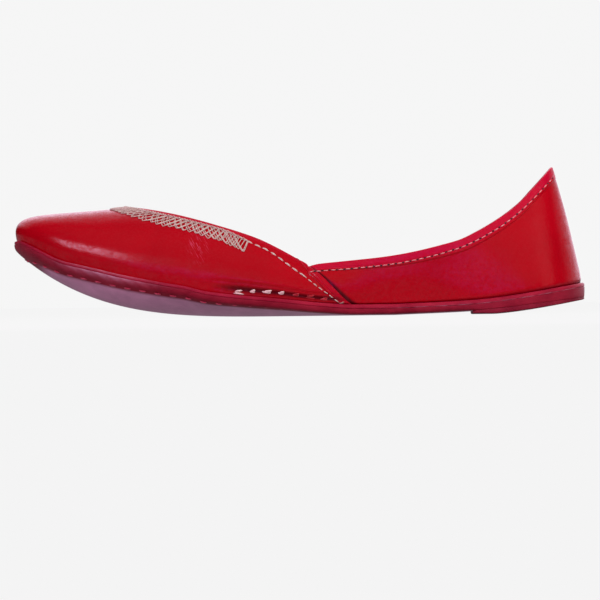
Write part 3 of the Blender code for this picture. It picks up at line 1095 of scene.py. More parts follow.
    def build(self) -> Object:
        """Builds the closed shell: up the outside, over the folded edge and down the lining.

        Returns:
            The piece, which carries the numbers strip and painted shade.
        """
        foot, top, vamp, wing = self.columns()
        points, normal = self.last.lines(foot, top)
        length = lengths_along(points)
        total = length[:, -1:]
        body = (total - self.edge_zone) * np.linspace(0, 1, self.body_rows)[None, :]
        zone = total - self.edge_zone + np.linspace(0, self.edge_zone, self.edge_rows)[None, 1:]
        rows = np.concatenate([body, zone], axis=1)
        face = read_lines(length, points, rows)
        out = unit(read_lines(length, normal, rows))
        around = np.concatenate([np.zeros((1, rows.shape[1])), lengths_along(face.swapaxes(0, 1))[:, 1:].T])
        ahead = np.abs(around - around[wing, :]) * self.wing_slant
        down, on_vamp = total - rows, np.repeat(vamp[:, None], rows.shape[1], axis=1)
        height = self.relief(face, rows, down, ahead, on_vamp)
        outer = face + out * height[..., None]
        outer[:, 0, 2] = self.last.seat(outer[:, 0, 0], outer[:, 0, 1])

        inside_rows = total * np.linspace(1, 0, self.lining_rows)[None, :]
        inner = read_lines(length, points, inside_rows)
        inner = inner - unit(read_lines(length, normal, inside_rows)) * self.quarter_wall
        inner[:, -1, 2] = self.last.seat(inner[:, -1, 0], inner[:, -1, 1])
        climb = unit(face[:, -1] - face[:, -2])
        bend = np.linspace(0, math.pi, self.rim_rows + 2)[1:-1][None, :, None]
        middle, reach = (outer[:, -1] + inner[:, 0]) / 2, (outer[:, -1] - inner[:, 0]) / 2
        rim = middle[:, None] + reach[:, None] * np.cos(bend)
        rim = rim + climb[:, None] * np.sin(bend) * self.edge_round

        loops = np.concatenate([outer, rim, inner], axis=1)
        count, size = loops.shape[:2]
        faces = grid_faces(count, size, wrap_rows=True, wrap_columns=True)
        lining_from = outer.shape[1] + self.rim_rows
        slots = np.tile(np.arange(size) >= lining_from, count).astype(int)

        strip, painted_shade = self.marks(face, rows, down, ahead, on_vamp)
        rest = size - outer.shape[1]
        values = {
            "strip": np.concatenate([strip, np.ones((count, rest))], axis=1),
            "painted_shade": np.concatenate([painted_shade, np.zeros((count, rest))], axis=1),
        }
        skins = [self.leather, self.lining]
        piece = make_piece(Piece.UPPER, loops.reshape(-1, 3), faces, skins, slots, values)
        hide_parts("upper")
        return piece


@dataclass
class Skin:
    """The finished face of a piece, on which threads are laid."""

    tree: BVHTree

    @classmethod
    def of(cls, piece: Object) -> "Skin":
        """Reads a piece's faces.

        Args:
            piece: a piece whose faces all have four corners.

        Returns:
            The skin.
        """
        mesh = piece.data
        points = np.empty(len(mesh.vertices) * 3)
        mesh.vertices.foreach_get("co", points)
        faces = np.empty(len(mesh.loops), dtype=np.int32)
        mesh.loops.foreach_get("vertex_index", faces)
        return cls(BVHTree.FromPolygons(points.reshape(-1, 3).tolist(), faces.reshape(-1, 4).tolist()))

    def from_side(self, path: Array, side: float) -> tuple[Array, Array]:
        """Lays points of the side view on the skin, looking along the shoe's width.

        Args:
            path: (n, 2) x and z.
            side: -1 for the near side, 1 for the far side.

        Returns:
            Places and outward normals of the points that meet the skin.
        """
        inwards = Vector((0, -side, 0))
        found = [self.tree.ray_cast(Vector((x, side * RAY_START, z)), inwards) for x, z in path]
        met = [(hit[0], hit[1]) for hit in found if hit[0] is not None]
        places = np.array([tuple(place) for place, _ in met]).reshape(-1, 3)
        normals = np.array([tuple(normal) for _, normal in met]).reshape(-1, 3)
        flip = np.sign(normals[:, 1:2]) == -side
        return places, np.where(flip, -normals, normals)

    def nearest(self, points: Array) -> tuple[Array, Array]:
        """Drops points onto the skin where it is nearest.

        Args:
            points: (n, 3) places close to the skin.

        Returns:
            Places on the skin and normals on the points' side.
        """
        found = [self.tree.find_nearest(Vector(point)) for point in points]
        places = np.array([tuple(hit[0]) for hit in found])
        normals = np.array([tuple(hit[1]) for hit in found])
        flip = (normals * (points - places)).sum(-1, keepdims=True) < 0
        return places, np.where(flip, -normals, normals)


# Threads


class Form(NamedTuple):
    """A mesh as arrays: points and faces."""

    points: Array
    faces: Array


def join(forms: list[Form]) -> Form:
    """Joins forms into one.

    Args:
        forms: the forms.

    Returns:
        The joined form.
    """
    starts = np.cumsum([0] + [len(form.points) for form in forms[:-1]])
    faces = [form.faces + start for form, start in zip(forms, starts)]
    return Form(np.concatenate([form.points for form in forms]), np.concatenate(faces))


def thread_faces(rings: int, sides: int) -> Array:
    """Faces of one closed thread, facing outwards: the walls between its rings, and both ends.

    Args:
        rings: number of rings.
        sides: points in a ring, an even number.

    Returns:
        (face, 4) point numbers.
    """
    walls = grid_faces(rings, sides, wrap_columns=True)
    i = np.arange(sides // 2 - 1)
    end = np.stack([i, i + 1, sides - 2 - i, sides - 1 - i], axis=-1)
    return np.concatenate([walls, end, end[:, ::-1] + (rings - 1) * sides])[:, ::-1]


def stitches(
    places: Array, along: Array, normals: Array, length: float, width: float, height: float, sink: float
) -> Form:
    """Short arched stitches: each is a spindle of thread whose ends dive into the leather.

    Along a stitch, from -1 to 1, the thread's centre rises as 1 - s squared and its thickness as the root
    of 1 - s squared; round it, it is an ellipse.

    Args:
        places: (n, 3) middles of the stitches on the leather.
        along: (n, 3) directions.
        normals: (n, 3) outward normals.
        length: of a stitch.
        width: of a stitch.
        height: of a stitch's thread.
        sink: how far its ends lie below the leather.

    Returns:
        The joined form.
    """
    rings, sides = 9, 8
    s = np.linspace(-1, 1, rings)[:, None]
    turn = np.linspace(0, 2 * math.pi, sides + 1)[None, :-1]
    fat = np.sqrt(np.clip(1 - s**2, 0.02, 1))
    forward = np.broadcast_to(s * length / 2, (rings, sides))
    aside = np.cos(turn) * fat * width / 2
    rise = np.sin(turn) * fat * height / 2 + (1 - s**2) * (sink + 0.25 * height) - sink
    shape = np.stack([forward, aside, rise], axis=-1).reshape(-1, 3)
    along = unit(along - (along * normals).sum(-1, keepdims=True) * normals)
    side = np.cross(normals, along)
    axes = np.stack([along, side, normals], axis=1)
    points = places[:, None] + np.einsum("mk,nkj->nmj", shape, axes)
    faces = thread_faces(rings, sides)
    starts = (np.arange(len(places)) * len(shape))[:, None, None]
    return Form(points.reshape(-1, 3), (faces[None] + starts).reshape(-1, 4))


def tube(paths: Array, normals: Array, radius: float, sides: int = 6) -> Form:
    """Threads of round section carried along many paths at once.

    Args:
        paths: (path, point, 3) centre lines.
        normals: (path, point, 3) a direction across each line.
        radius: of the thread.
        sides: points round it.

    Returns:
        The joined form, drawn to a point at both ends.
    """
    along = unit(np.gradient(paths, axis=1))
    up = unit(normals - (normals * along).sum(-1, keepdims=True) * along)
    side = np.cross(along, up)
    turn = np.linspace(0, 2 * math.pi, sides + 1)[:-1]
    taper = np.ones(paths.shape[1])
    taper[[0, -1]] = 0.05
    ring = radius * (np.cos(turn)[:, None] * up[:, :, None] + np.sin(turn)[:, None] * side[:, :, None])
    points = paths[:, :, None] + ring * taper[None, :, None, None]
    faces = thread_faces(paths.shape[1], sides)
    starts = (np.arange(len(paths)) * paths.shape[1] * sides)[:, None, None]
    return Form(points.reshape(-1, 3), (faces[None] + starts).reshape(-1, 4))


@dataclass
class SideView:
    """Turns places in the photograph's side view into x and z of the shoe."""

    floor: float = 316.0
    level: float = 300.0
    lift: float = 0.1 * MM

    def place(self, path: Rows) -> Array:
        """Takes out the picture's small tilt and scales it to metres.

        Args:
            path: places across and down.

        Returns:
            (n, 2) x and z.
        """
        seen = np.array(path, float)
        across, up = seen[:, 0], self.floor - seen[:, 1]
        x = (across + up * ROLL - TOE_AT) * UNIT - HALF_LENGTH
        z = (up + (self.level - across) * ROLL) * UNIT + self.lift
        return np.stack([x, z], axis=1)


@dataclass
class Seams:
    """Hand stitching that runs on the upper: the top edge, the wings and the lasting stitches."""

    skin: Skin
    view: SideView
    cream: Material
    pale: Material
    red: Material
    # Painted shade for the awl holes.
    dark: Material
    white: Material
    splay: float = 0.14
    pip_height: float = 1.0 * MM
    pip_sink: float = 0.1 * MM

    # Places across and down in the side view. Lasting stitches: across, down, length, and 1 where split.
    EDGE = (
        (311, 272.2), (330, 270.5), (350, 269.2), (380, 266.2), (400, 263.4), (420, 259.3),
        (440, 254.3), (460, 248.0), (480, 238.8), (500, 227.0), (515, 215.8), (530, 202.0),
        (540, 191.5), (549, 182.0), (554.5, 175.8),
    )
    WING_HIGH = (
        (249.6, 242.8), (257, 246.2), (266, 250.2), (274, 254.9), (281, 259.9), (288, 265.2),
        (295, 270.4), (302, 275.2),
    )
    WING_LOW = (
        (304.5, 277.0), (311, 282.2), (318, 287.6), (326, 293.2), (333, 298.6), (341, 305.0),
    )
    PALE = ((239.0, 292.7, 9.4, 1), (253.1, 291.5, 5.3, 0), (267.5, 292.0, 9.0, 0), (281.5, 293.0, 5.8, 0))
    RED = ((296.0, 294.8, 6.2, 0), (310.3, 297.2, 9.5, 1), (324.0, 299.4, 7.0, 0))

    def laid(self, middle: Array, length: float, width: float, height: float, sink: float) -> Form:
        """Stitches on both sides of the shoe.

        Args:
            middle: their places, x and z in the side view.
            length: of a stitch.
            width: of its thread.
            height: of its thread.
            sink: how far its ends lie below the leather.

        Returns:
            The joined form.
        """
        forms = []
        for side in SIDES:
            places, normals = self.skin.from_side(middle, side)
            along = unit(np.gradient(places, axis=0))
            forms.append(stitches(places, along, normals, length, width, height, sink))
        return join(forms)

    def run(self, path: Array, pitch: float, length: float, width: float, height: float) -> Form:
        """A run of stitches along a path, one to each pitch."""
        return self.laid(resample(path, pitch)[0], length, width, height, 0.12 * MM)

    def holes(self, path: Array, pitch: float, size: float) -> Form:
        """Dark spots half way between the stitches of a run: painted shade standing for the awl holes."""
        middle = resample(path, pitch)[0]
        return self.laid((middle[:-1] + middle[1:]) / 2, size, size, 0.16 * MM, 0.02 * MM)

    def pips(self, rows: tuple[tuple[float, float, float, int], ...], width: float) -> Form:
        """Lasting stitches, each with its own place and length: two strands that splay apart.

        Args:
            rows: PALE or RED.
            width: over both strands.

        Returns:
            The joined form.
        """
        forms = []
        for across, down, size, split in rows:
            reach = size / 2
            path = self.view.place(((across - reach, down), (across, down), (across + reach, down)))
            for side in SIDES:
                places, normals = self.skin.from_side(path, side)
                along = unit(places[2:] - places[:1])
                down_skin = np.cross(normals[1:2], along)
                length = size * UNIT
                apart, thick, skew = (0.33, 0.5, 0.0) if split else (0.15, 0.62, 0.09)
                for strand in SIDES:
                    middle = places[1:2] + strand * (apart * width * down_skin + skew * length * along)
                    splay = along + self.splay * strand * down_skin
                    reached = length * (0.97 - 0.13 * strand)
                    size_of = (reached, thick * width, self.pip_height, self.pip_sink)
                    forms.append(stitches(middle, splay, normals[1:2], *size_of))
        return join(forms)

    def ends(self) -> Form:
        """The wing seam's two loose thread ends at the sole.

        Returns:
            The joined form.
        """
        half_width = 36 * MM
        tips = (((341.5, 304.0), (345.6, 302.2)), ((341.0, 305.0), (343.8, 307.4)))
        forms = []
        for start, tip in tips:
            middle = ((start[0] + tip[0]) / 2, (start[1] + tip[1]) / 2)
            path = self.view.place((start, middle, tip))
            for side in SIDES:
                guess = np.stack([path[:, 0], np.full(3, side * half_width), path[:, 1]], axis=1)
                places, normals = self.skin.nearest(guess)
                lifted = places + normals * np.array([[0.1], [0.45], [0.9]]) * MM
                forms.append(tube(lifted[None], normals[None], 0.13 * MM))
        return join(forms)

    def add(self, name: Piece, form: Form, material: Material) -> Object:
        """Adds a form as a piece.

        Args:
            name: of the piece.
            form: its mesh.
            material: its thread.

        Returns:
            The piece.
        """
        piece = make_piece(name, form.points, form.faces, [material])
        return piece

    def build(self) -> list[Object]:
        """Builds every seam of the upper.

        Returns:
            The pieces.
        """
        edge = self.view.place(self.EDGE)
        high, low = self.view.place(self.WING_HIGH), self.view.place(self.WING_LOW)
        high_run = self.run(high, 3.9 * MM, 3.2 * MM, 0.84 * MM, 0.6 * MM)
        low_run = self.run(low, 2.95 * MM, 2.4 * MM, 0.5 * MM, 0.42 * MM)
        wing_run = join([high_run, low_run, self.ends()])
        holes = join([self.holes(edge, 3.3 * MM, 1.0 * MM), self.holes(high, 3.9 * MM, 0.5 * MM)])
        edge_run = self.run(edge, 3.3 * MM, 2.3 * MM, 0.42 * MM, 0.36 * MM)
        return [
            self.add(Piece.EDGE_STITCHES, edge_run, self.pale),
            self.add(Piece.WING_STITCHES, wing_run, self.cream),
            self.add(Piece.HOLES, holes, self.dark),
            self.add(Piece.LASTING_PALE, self.pips(self.PALE, 1.9 * MM), self.white),
            self.add(Piece.LASTING_RED, self.pips(self.RED, 1.7 * MM), self.red),
        ]


@dataclass
class ThroatLattice:
    """The thread lattice round the throat: a dense cord row above, and loops that cross below it."""

    last: Last
    skin: Skin
    thread: Material
    pitch: float = 2.4 * MM
    radius: float = 0.19 * MM
    strand_gap: float = 0.2 * MM
    end_station: float = 0.408
    waver: float = 0.3 * MM
    row_depth: float = 0.055
    round: Array = field(init=False)
    points: Array = field(init=False)
    length: Array = field(init=False)

    # Round the throat from the toe, 0, to the lattice's ends, 1: depth of the upper row below the edge and
    # width of the band in millimetres, and reach of a stitch before and behind its lowest point in pitches.
    UPPER_ROW = (
        (0.0, 1.8), (0.18, 2.4), (0.3, 3.5), (0.5, 3.5), (0.7, 3.1), (0.8, 2.9), (0.92, 4.1), (1.0, 5.3),
    )
    WIDTH = ((0.0, 6.8), (0.18, 9.2), (0.26, 9.6), (0.43, 8.8), (0.6, 7.7), (0.8, 7.8), (1.0, 8.0))
    AHEAD = ((0.0, 1.6), (0.5, 2.0), (1.0, 2.25))
    BEHIND = ((0.0, 1.6), (0.5, 1.4), (1.0, 0.5))

    def __post_init__(self) -> None:
        """Lays the frame lines once."""
        self.round, self.points, self.length = self.frame_lines()

    def frame_lines(self) -> tuple[Array, Array, Array]:
        """Lines down the vamp from the top edge, evenly spaced round the throat.

        Returns:
            Distances round the throat, points (line, sample, 3) from the edge down, and lengths along them.
        """
        near = np.linspace(0.0, self.last.turn_of(np.array(self.end_station)), 260)
        turn = np.concatenate([-near[:0:-1], near])
        points, _ = self.last.lines(turn, turn, samples=240)
        points = points[:, ::-1]
        top = points[:, 0]
        round_throat = np.concatenate([[0.0], np.cumsum(np.linalg.norm(np.diff(top, axis=0), axis=1))])
        return round_throat, points, lengths_along(points)

    def on_band(self, s: Array, v: Array, lift: Array) -> tuple[Array, Array]:
        """Places on the band.

        Args:
            s: distance round the throat.
            v: 0 at the band's upper row and 1 at its scallops.
            lift: height over the leather.

        Returns:
            Points and normals in the shape of s.
        """
        total = self.round[-1]
        middle = np.abs(s / total - 0.5) * 2
        depth = (table(self.UPPER_ROW, middle) + v * table(self.WIDTH, middle)) * MM
        column = np.interp(s, self.round, np.arange(len(self.round)))
        low = np.clip(np.floor(column).astype(int), 0, len(self.round) - 2)
        t = (column - low)[..., None]
        flat_low, flat_depth = low.ravel(), depth.ravel()[:, None]
        near = read_lines(self.length[flat_low], self.points[flat_low], flat_depth)[:, 0]
        far = read_lines(self.length[flat_low + 1], self.points[flat_low + 1], flat_depth)[:, 0]
        base = near.reshape(*s.shape, 3) * (1 - t) + far.reshape(*s.shape, 3) * t
        guess = base.reshape(-1, 3) + np.array([0.0, 0.0, 2.0 * MM])
        guess[:, 1] += np.sign(base.reshape(-1, 3)[:, 1]) * 0.5 * MM
        places, normals = self.skin.nearest(guess)
        places = places.reshape(*s.shape, 3) + normals.reshape(*s.shape, 3) * lift[..., None]
        return places, normals.reshape(*s.shape, 3)

    def build(self) -> Object:
        """Builds the lattice as joined tubes.

        A stitch leaves the upper row, runs down and towards the heel, turns round at a scallop and climbs
        on, so that it crosses its neighbours in diamonds. It is a pair of strands. The hand's unevenness
        shifts each one a little. Cords twisted round each other make the upper row.

        Returns:
            The piece.
        """
        half = self.round[-1] / 2
        count = int(half / self.pitch + 0.6)
        rng = np.random.default_rng(7)
        w = np.linspace(-1, 1, 27)[None, :]
        forms = []
        for side in SIDES:
            for strand in SIDES:
                uneven = rng.normal(0, 1, (4, count, 1))
                apex = half - (np.arange(count)[::-1, None] + 0.9) * self.pitch + 0.2 * MM * uneven[0]
                share = apex / half
                ahead = table(self.AHEAD, share) * self.pitch + self.waver * uneven[1]
                behind = table(self.BEHIND, share) * self.pitch + self.waver * uneven[2]
                reach = np.where(w < 0, ahead, behind)
                around = apex + np.sign(w) * np.abs(w) ** 1.15 * reach + strand * self.strand_gap
                low = 0.97 + 0.04 * uneven[3] - 0.05 * (strand > 0)
                depth = low - (low - 0.05) * np.abs(w) ** 1.45
                lift = self.radius * (1.5 + 0.75 * np.tanh(4 * w) + 0.3 * strand) * np.ones_like(apex)
                forms.append(tube(*self.on_band(half + side * around, depth, lift), self.radius))
        last_top = half - 0.4 * self.pitch
        s = np.linspace(half - last_top, half + last_top, 620)[None, :]
        phase = 2 * math.pi * s / self.pitch
        for shift, level in ((0.0, 0.02), (math.pi, 0.05)):
            v = level + self.row_depth * np.sin(phase + shift)
            line, up = self.on_band(s, v, self.radius * (2.1 + 1.1 * np.cos(phase + shift)))
            forms.append(tube(line, up, self.radius))
        form = join(forms)
        piece = make_piece(Piece.LATTICE, form.points, form.faces, [self.thread])
        return piece


# The sole


def no_wear_or_highlight(station: Array, climb: Array) -> Array:
    """No paler wear and no painted highlight on an edge, by station and share of its height."""
    return np.zeros(np.broadcast(station, climb).shape)


@dataclass
class SoleLayer:
    """One leather layer of the sole, lofted from sections that cross it from side to side."""

    last: Last
    piece: Piece
    node: str
    slot: Slot
    material: Material
    bottom: Surface
    top: Surface
    edge: Rows
    inset: Callable[[Array], Array] = np.zeros_like
    bevel: Callable[[Array], Array] = np.ones_like
    # Shares of the paler colour on the edge, which make its wear and its painted highlight.
    worn: Surface = no_wear_or_highlight
    start: float = 0.0
    columns: int = 200
    strips: int = 40
    corners: int = 15
    roughness: float = 0.072 * MM
    margin: float = 2.3 * MM

    def build(self) -> Object:
        """Builds the layer as one closed skin.

        A section crosses the underside, climbs the far edge, crosses back over the top and comes down the
        near edge; the edge's corners are insets and shares of the layer's height.

        Returns:
            The piece, which carries the number below.
        """
        last = self.last
        turn = np.linspace(last.turn_of(np.array(self.start)), math.pi, self.columns)[:, None]
        corner_at = np.linspace(0, 1, self.corners)
        given = np.array(self.edge)
        order = np.linspace(0, 1, len(given))
        station = (1 - np.cos(turn)) / 2
        inset = MM * smooth(order, given[:, 0], corner_at)[None, :]
        inset = inset * self.bevel(station) + self.inset(station)
        height = smooth(order, given[:, 1], corner_at)[None, :]
        x, y = last.outline(turn, inset)
        low, high = self.bottom(x, y), self.top(x, y)
        z = low * (1 - height) + high * height
        near = np.stack([x, y, z], axis=-1)
        dent = np.sin(310 * x + 40 * y) * np.sin(205 * x + 1.3) + 0.5 * np.sin(800 * x + 500 * z)
        inner_x, inner_y = last.outline(turn, inset + MM)
        push = unit(np.stack([x - inner_x, y - inner_y], axis=-1))
        shape = np.sin(math.pi * corner_at)[None, :, None]
        near[..., :2] += push * shape * (self.roughness * dent)[..., None]
        far = near * np.array([1.0, -1.0, 1.0])
        share = np.linspace(-1, 1, self.strips + 1)[None, 1:-1]

        def across(column: int, surface: Surface) -> Array:
            """Points straight across the shoe between the two edges' corners.

            Args:
                column: number of the corner.
                surface: heights of the face.

            Returns:
                (section, point, 3) places.
            """
            line_x = np.repeat(near[:, column, 0:1], share.size, axis=1)
            line_y = -near[:, column, 1:2] * share
            return np.stack([line_x, line_y, surface(line_x, line_y)], axis=-1)

        under, over = across(0, self.bottom), across(-1, self.top)[:, ::-1]
        loops = np.concatenate([under, far, over, near[:, ::-1]], axis=1)
        count, size = loops.shape[:2]
        faces = grid_faces(count, size, wrap_columns=True)[:, ::-1].tolist()
        if self.start > 0:
            faces.append(list(range(size))[::-1])
        # The underside's colour, partly painted floor reflection, starts inside the stitch line.
        inward = last.half_width(station) - np.abs(under[..., 1])
        margin = step_up(inward, self.margin, self.margin + 2.0 * MM)
        margin = margin * step_up(last.station(under[..., 0]), 0.035, 0.07)
        # Paler colour on the edges: their wear and their painted highlight.
        edge_wear_and_highlight = self.worn(station, corner_at[None, :])
        plain = np.zeros((count, share.size))
        values = {"below": np.concatenate([margin, edge_wear_and_highlight, plain, edge_wear_and_highlight[:, ::-1]], axis=1)}
        piece = make_piece(self.piece, loops.reshape(-1, 3), faces, [self.material], None, values)
        weld(piece)
        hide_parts(self.node)
        return piece


@dataclass
class Sole:
    """Outsole, midsole, heel lift and insole, with the stitches under the outsole's edge."""

    last: Last
    effects: Effects
    red: Material
    lining: Material
    stitch_inset: float = 2.1 * MM
    stitch_pitch: float = 7.0 * MM

    def layers(self) -> list[SoleLayer]:
        """The four layers, from the floor up.

        Returns:
            The layers, not built yet. The corners of an edge are insets in millimetres and shares of height.
        """
        last, fx = self.last, self.effects
        # The outsole's underside colour is partly painted floor reflection; the paler colours also paint the
        # edges' highlight and show their wear.
        tones = (
            ("maroon_sole_leather", (0.19, 0.002, 0.014), (0.60, 0.30, 0.42), 0.38, 0.3),
            ("maroon_rim_leather", (0.24, 0.002, 0.018), (0.55, 0.24, 0.32), 0.32, 0.5),
            ("worn_lift_leather", (0.16, 0.003, 0.015), (0.17, 0.06, 0.07), 0.45, 0.6),
        )
        maroon, rim, hide = (SoleLeather(fx, *tone).build() for tone in tones)

        def within_upper(station: Array) -> Array:
            """Clear of the upper's wall."""
            return last.rib(station).inset * last.feather_inset + 2.3 * MM

        def lift_top(x: Array, y: Array) -> Array:
            """Just under the outsole."""
            return last.underside(x, y) - 0.02 * MM

        def cut_square(station: Array) -> Array:
            """Share of the lower bevel: the edge is cut square over the heel lift."""
            return 1 - 0.85 * step_up(station, last.lift_front - 0.02, last.lift_front + 0.015)

        def painted_edge_highlight(station: Array, climb: Array) -> Array:
            """Painted highlight on the upper half of the edge, along the toe's side."""
            uneven = 0.75 + 0.25 * np.sin(260 * station + 9 * climb)
            return 0.65 * bump_at(station, 0.16, 0.065) * bump_at(climb, 0.9, 0.4) * uneven

        def rubbed_and_highlight(station: Array, climb: Array) -> Array:
            """Pale worn fibres along the rim's foot from the waist to the heel, and the painted highlight
            along the toe.

            Args:
                station: share of the length from the toe.
                climb: share of the edge's height.

            Returns:
                Shares of the paler colour.
            """
            uneven = 0.5 + 0.3 * np.sin(170 * station) + 0.2 * np.sin(411 * station + 1)
            foot = step_up(station, 0.62, 0.74) * (1 - step_up(climb, 0.12, 0.34)) * uneven
            return foot + painted_edge_highlight(station, climb)

        def rim_top(x: Array, y: Array) -> Array:
            """Up to the upper's foot."""
            return last.seat(x, y) - 0.02 * MM

        def rim_foot(x: Array, y: Array) -> Array:
            """The midsole's underside, pressed down on the outsole."""
            return last.outsole_top(x, y) + 0.03 * MM

        out_edge = ((2.6, 0.0), (1.1, 0.07), (0.35, 0.28), (0.05, 0.62), (0.0, 0.9), (0.25, 1.0))
        rim_edge = ((0.35, 0.0), (0.05, 0.12), (0.1, 0.5), (0.5, 0.86), (1.4, 1.0))
        lift_edge = ((0.55, 0.0), (0.2, 0.2), (0.12, 0.6), (0.1, 1.0))
        sock_edge = ((0.0, 0.0), (0.05, 0.6), (0.6, 1.0))
        outsole = SoleLayer(
            last, Piece.OUTSOLE, "outsole", Slot.SOLE, maroon, last.underside, last.outsole_top, out_edge,
            # The outsole's paler edge marks are only the painted highlight.
            bevel=cut_square, worn=painted_edge_highlight,
        )
        midsole = SoleLayer(
            last, Piece.MIDSOLE, "midsole", Slot.RIM, rim, rim_foot, rim_top, rim_edge, worn=rubbed_and_highlight
        )
        lift = SoleLayer(
            last, Piece.LIFT, "heel_lift", Slot.LIFT, hide, last.lift_foot, lift_top, lift_edge,
            start=last.lift_front, columns=60,
        )
        insole = SoleLayer(
            last, Piece.INSOLE, "insole", Slot.LINING, self.lining, last.seat, last.insole_top, sock_edge,
            inset=within_upper, columns=120, strips=24, roughness=0.0,
        )
        return [outsole, midsole, lift, insole]

    def stitch_run(self) -> Object:
        """Stitches all along the underside of the outsole's edge, from lift to lift round the toe.

        Returns:
            The piece.
        """
        limit = float(self.last.turn_of(np.array(self.last.lift_front - 0.012)))
        turn = np.linspace(-limit, limit, 1500)
        x, y = self.last.outline(turn, self.stitch_inset + 3.0 * MM * bump_at(turn, 0.0, 0.4))
        path = np.stack([x, y, self.last.underside(x, y)], axis=1)
        places, along = resample(path, self.stitch_pitch)
        places[:, 2] += (0.1 + 0.42 * step_up(self.last.station(places[:, 0]), 0.33, 0.42)) * MM
        x, y, reach, height = places[:, 0], places[:, 1], 0.4 * MM, self.last.underside
        slope_x = (height(x + reach, y) - height(x - reach, y)) / (2 * reach)
        slope_y = (height(x, y + reach) - height(x, y - reach)) / (2 * reach)
        normals = unit(np.stack([slope_x, slope_y, -np.ones(len(x))], axis=1))
        form = stitches(places, along, normals, 3.4 * MM, 1.1 * MM, 0.7 * MM, 0.1 * MM)
        piece = make_piece(Piece.SOLE_STITCHES, form.points, form.faces, [self.red])
        return piece

    def build(self) -> list[Object]:
        """Builds the layers and their stitches."""
        return [layer.build() for layer in self.layers()] + [self.stitch_run()]


# Studio


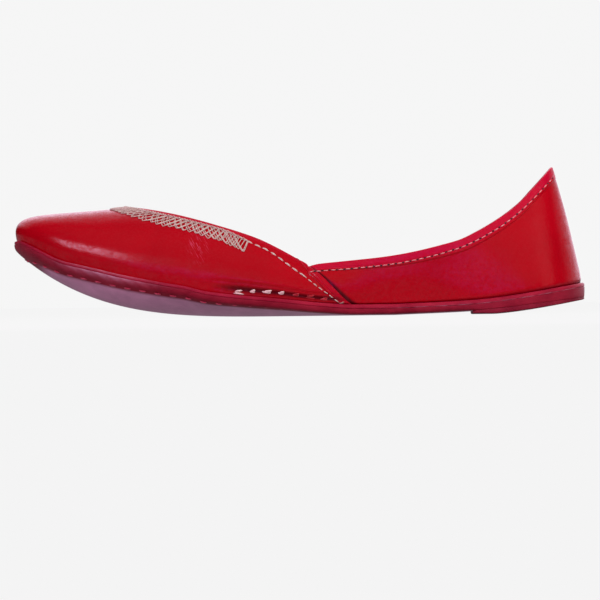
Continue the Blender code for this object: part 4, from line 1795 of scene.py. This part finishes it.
@dataclass
class Studio:
    """Pale floor, soft light and the camera at the photograph's angle."""

    width: float = 600 * UNIT
    distance: float = 4.0
    eye_height: float = 16 * UNIT
    middle: float = (300 - TOE_AT) * UNIT - HALF_LENGTH
    sensor: float = 36.0
    pale: float = 0.92

    def camera(self) -> None:
        """A long lens at the shoe's side, just over the floor, rolled as the photograph is."""
        data = bpy.data.cameras.new("studio_camera")
        data.sensor_width = self.sensor
        data.lens = self.sensor * self.distance / self.width
        data.clip_end = 50.0
        made = bpy.data.objects.new("studio_camera", data)
        bpy.context.scene.collection.objects.link(made)
        made.location = (self.middle, -self.distance, self.eye_height)
        made.rotation_euler = (math.pi / 2, ROLL, 0.0)
        bpy.context.scene.camera = made

    def lamp(
        self, name: str, place: Triple, aim: Triple, size: tuple[float, float], power: float,
        mirrored: bool, color: Triple = (1.0, 1.0, 1.0),
    ) -> None:
        """A soft box.

        Args:
            name: of the lamp.
            place: where it stands.
            aim: the point it faces.
            size: width and height.
            power: in watts.
            mirrored: whether glossy leather mirrors it, or it only fills.
            color: of its light.
        """
        data = bpy.data.lights.new(name, "AREA")
        data.shape = "RECTANGLE"
        data.size, data.size_y = size
        data.energy = power
        data.color = color
        made = bpy.data.objects.new(name, data)
        bpy.context.scene.collection.objects.link(made)
        made.location = place
        made.rotation_euler = (Vector(aim) - Vector(place)).to_track_quat("-Z", "Y").to_euler()
        made.visible_glossy = mirrored

    def lights(self) -> None:
        """Fill from the front and above that leaves no mark, and boxes that the glossy leather mirrors."""
        centre = (0.0, 0.0, 0.03)
        self.lamp("fill_above", (0.0, -0.5, 1.3), centre, (1.8, 1.2), 9.5, False)
        self.lamp("fill_front", (0.1, -1.5, 0.7), centre, (1.8, 0.8), 8.0, False)
        pink, violet = (1.0, 0.72, 1.0), (0.70, 0.10, 0.70)
        self.lamp("toe_box", (-0.84, -1.05, 0.55), (-0.08, 0.0, 0.03), (0.6, 0.4), 6.5, True, pink)
        self.lamp("front_card", (-0.1, -1.6, 0.3), centre, (1.4, 0.4), 2.2, True, violet)
        self.lamp("heel_fill", (0.45, -0.28, 0.22), (0.12, 0.0, 0.03), (0.3, 0.3), 1.3, False)

    def world(self) -> None:
        """Pale surroundings: even to the camera; leather mirrors a pale wall behind and dark in front."""
        world = bpy.data.worlds.new("pale_studio")
        bpy.context.scene.world = world
        world.use_nodes = True
        tree = world.node_tree
        backdrop = tree.nodes["Background"]
        backdrop.inputs["Color"].default_value = (self.pale, self.pale, self.pale, 1.0)
        place = add_node(tree, "ShaderNodeTexCoord")
        parts = add_node(tree, "ShaderNodeSeparateXYZ")
        wall = {"From Min": 0.1, "From Max": 0.9, "To Min": 0.02, "To Max": 1.5}
        behind = add_node(tree, "ShaderNodeMapRange", sockets=wall)
        tilt = add_node(tree, "ShaderNodeVectorMath", operation="DOT_PRODUCT", sockets={1: (1.0, 0.0, 1.5)})
        above = add_node(tree, "ShaderNodeMapRange", sockets={"From Min": -0.25, "From Max": 0.15})
        strength = add_node(tree, "ShaderNodeMath", operation="MULTIPLY")
        studio = add_node(tree, "ShaderNodeBackground", sockets={"Color": (1.0, 0.80, 0.96, 1.0)})
        rays = add_node(tree, "ShaderNodeLightPath")
        seen = add_node(tree, "ShaderNodeMixShader")
        wire(
            tree,
            (place.outputs["Generated"], parts.inputs[0]),
            (parts.outputs["Y"], behind.inputs["Value"]),
            (place.outputs["Generated"], tilt.inputs[0]),
            (tilt.outputs["Value"], above.inputs["Value"]),
            (behind.outputs["Result"], strength.inputs[0]),
            (above.outputs["Result"], strength.inputs[1]),
            (strength.outputs[0], studio.inputs["Strength"]),
            (rays.outputs["Is Camera Ray"], seen.inputs[0]),
            (studio.outputs[0], seen.inputs[1]),
            (backdrop.outputs[0], seen.inputs[2]),
            (seen.outputs[0], tree.nodes["World Output"].inputs["Surface"]),
        )

    def floor(self) -> Object:
        """A wide pale floor that the shoe stands on, lit from within so that it stays even.

        Returns:
            The floor.
        """
        shader = Shader("pale_floor")
        shader.set({"Roughness": 0.9, "Specular IOR Level": 0.0, "Emission Strength": 0.90})
        seen = shader.node("ShaderNodeLightPath").outputs["Is Camera Ray"]
        shader.link(shader.mix(seen, (0.28, 0.24, 0.28), (1.0, 1.0, 1.0)), "Emission Color")
        tint = shader.node("ShaderNodeTexNoise", sockets={"Scale": 3.0})
        shader.link(shader.place(), tint.inputs["Vector"])
        base = shader.mix(tint.outputs["Fac"], (0.018, 0.018, 0.018), (0.020, 0.020, 0.020))
        shader.link(base, "Base Color")
        reach = 8.0
        points = reach * np.array([[-1.0, -1.0, 0.0], [1.0, -1.0, 0.0], [1.0, 1.0, 0.0], [-1.0, 1.0, 0.0]])
        mesh = bpy.data.meshes.new(Piece.FLOOR.value)
        mesh.from_pydata(points.tolist(), [], [(0, 1, 2, 3)])
        mesh.materials.append(shader.material)
        made = bpy.data.objects.new(Piece.FLOOR.value, mesh)
        bpy.context.scene.collection.objects.link(made)
        return made

    def build(self) -> None:
        """Sets the camera, the lights, the surroundings and the floor."""
        bpy.context.scene.view_settings.view_transform = "Standard"
        self.camera()
        self.lights()
        self.world()
        self.floor()


# Each thread: name, painted highlight tone, painted shade tone and, where given, roughness.
THREADS = (
    ("cream_thread", (0.86, 0.70, 0.60), (0.34, 0.21, 0.17)),
    ("waxed_white_thread", (0.88, 0.66, 0.62), (0.70, 0.42, 0.40)),
    ("pale_pink_thread", (0.80, 0.45, 0.42), (0.6, 0.2, 0.2)),
    ("rose_thread", (0.60, 0.015, 0.075), (0.36, 0.01, 0.04), 0.4),
    ("red_thread", (0.50, 0.002, 0.012), (0.30, 0.001, 0.008), 0.35),
    # Painted shade standing for the awl holes.
    ("painted_hole_shade", (0.05, 0.002, 0.006), (0.03, 0.001, 0.004), 0.8),
)


def main() -> None:
    """Builds the studio, the sole, the upper and its threads, and reports each piece."""
    logging.basicConfig(level=logging.INFO, format="%(message)s")
    effects = Effects()
    last = Last()
    lining = Lining(effects).build()
    leather = GlazedLeather(effects).build()
    cream, white, pale, rose, red, dark = (Thread(effects, *tone).build() for tone in THREADS)

    Studio().build()
    made = Sole(last, effects, rose, lining).build()
    upper = Upper(last, leather, lining).build()
    made.append(upper)
    skin = Skin.of(upper)
    made += Seams(skin, SideView(), cream, pale, red, dark, white).build()
    made.append(ThroatLattice(last, skin, cream).build())
    weld(upper)
    for piece in made:
        LOG.info("%s: %d faces", piece.name, len(piece.data.polygons))


if __name__ == "__main__":
    main()
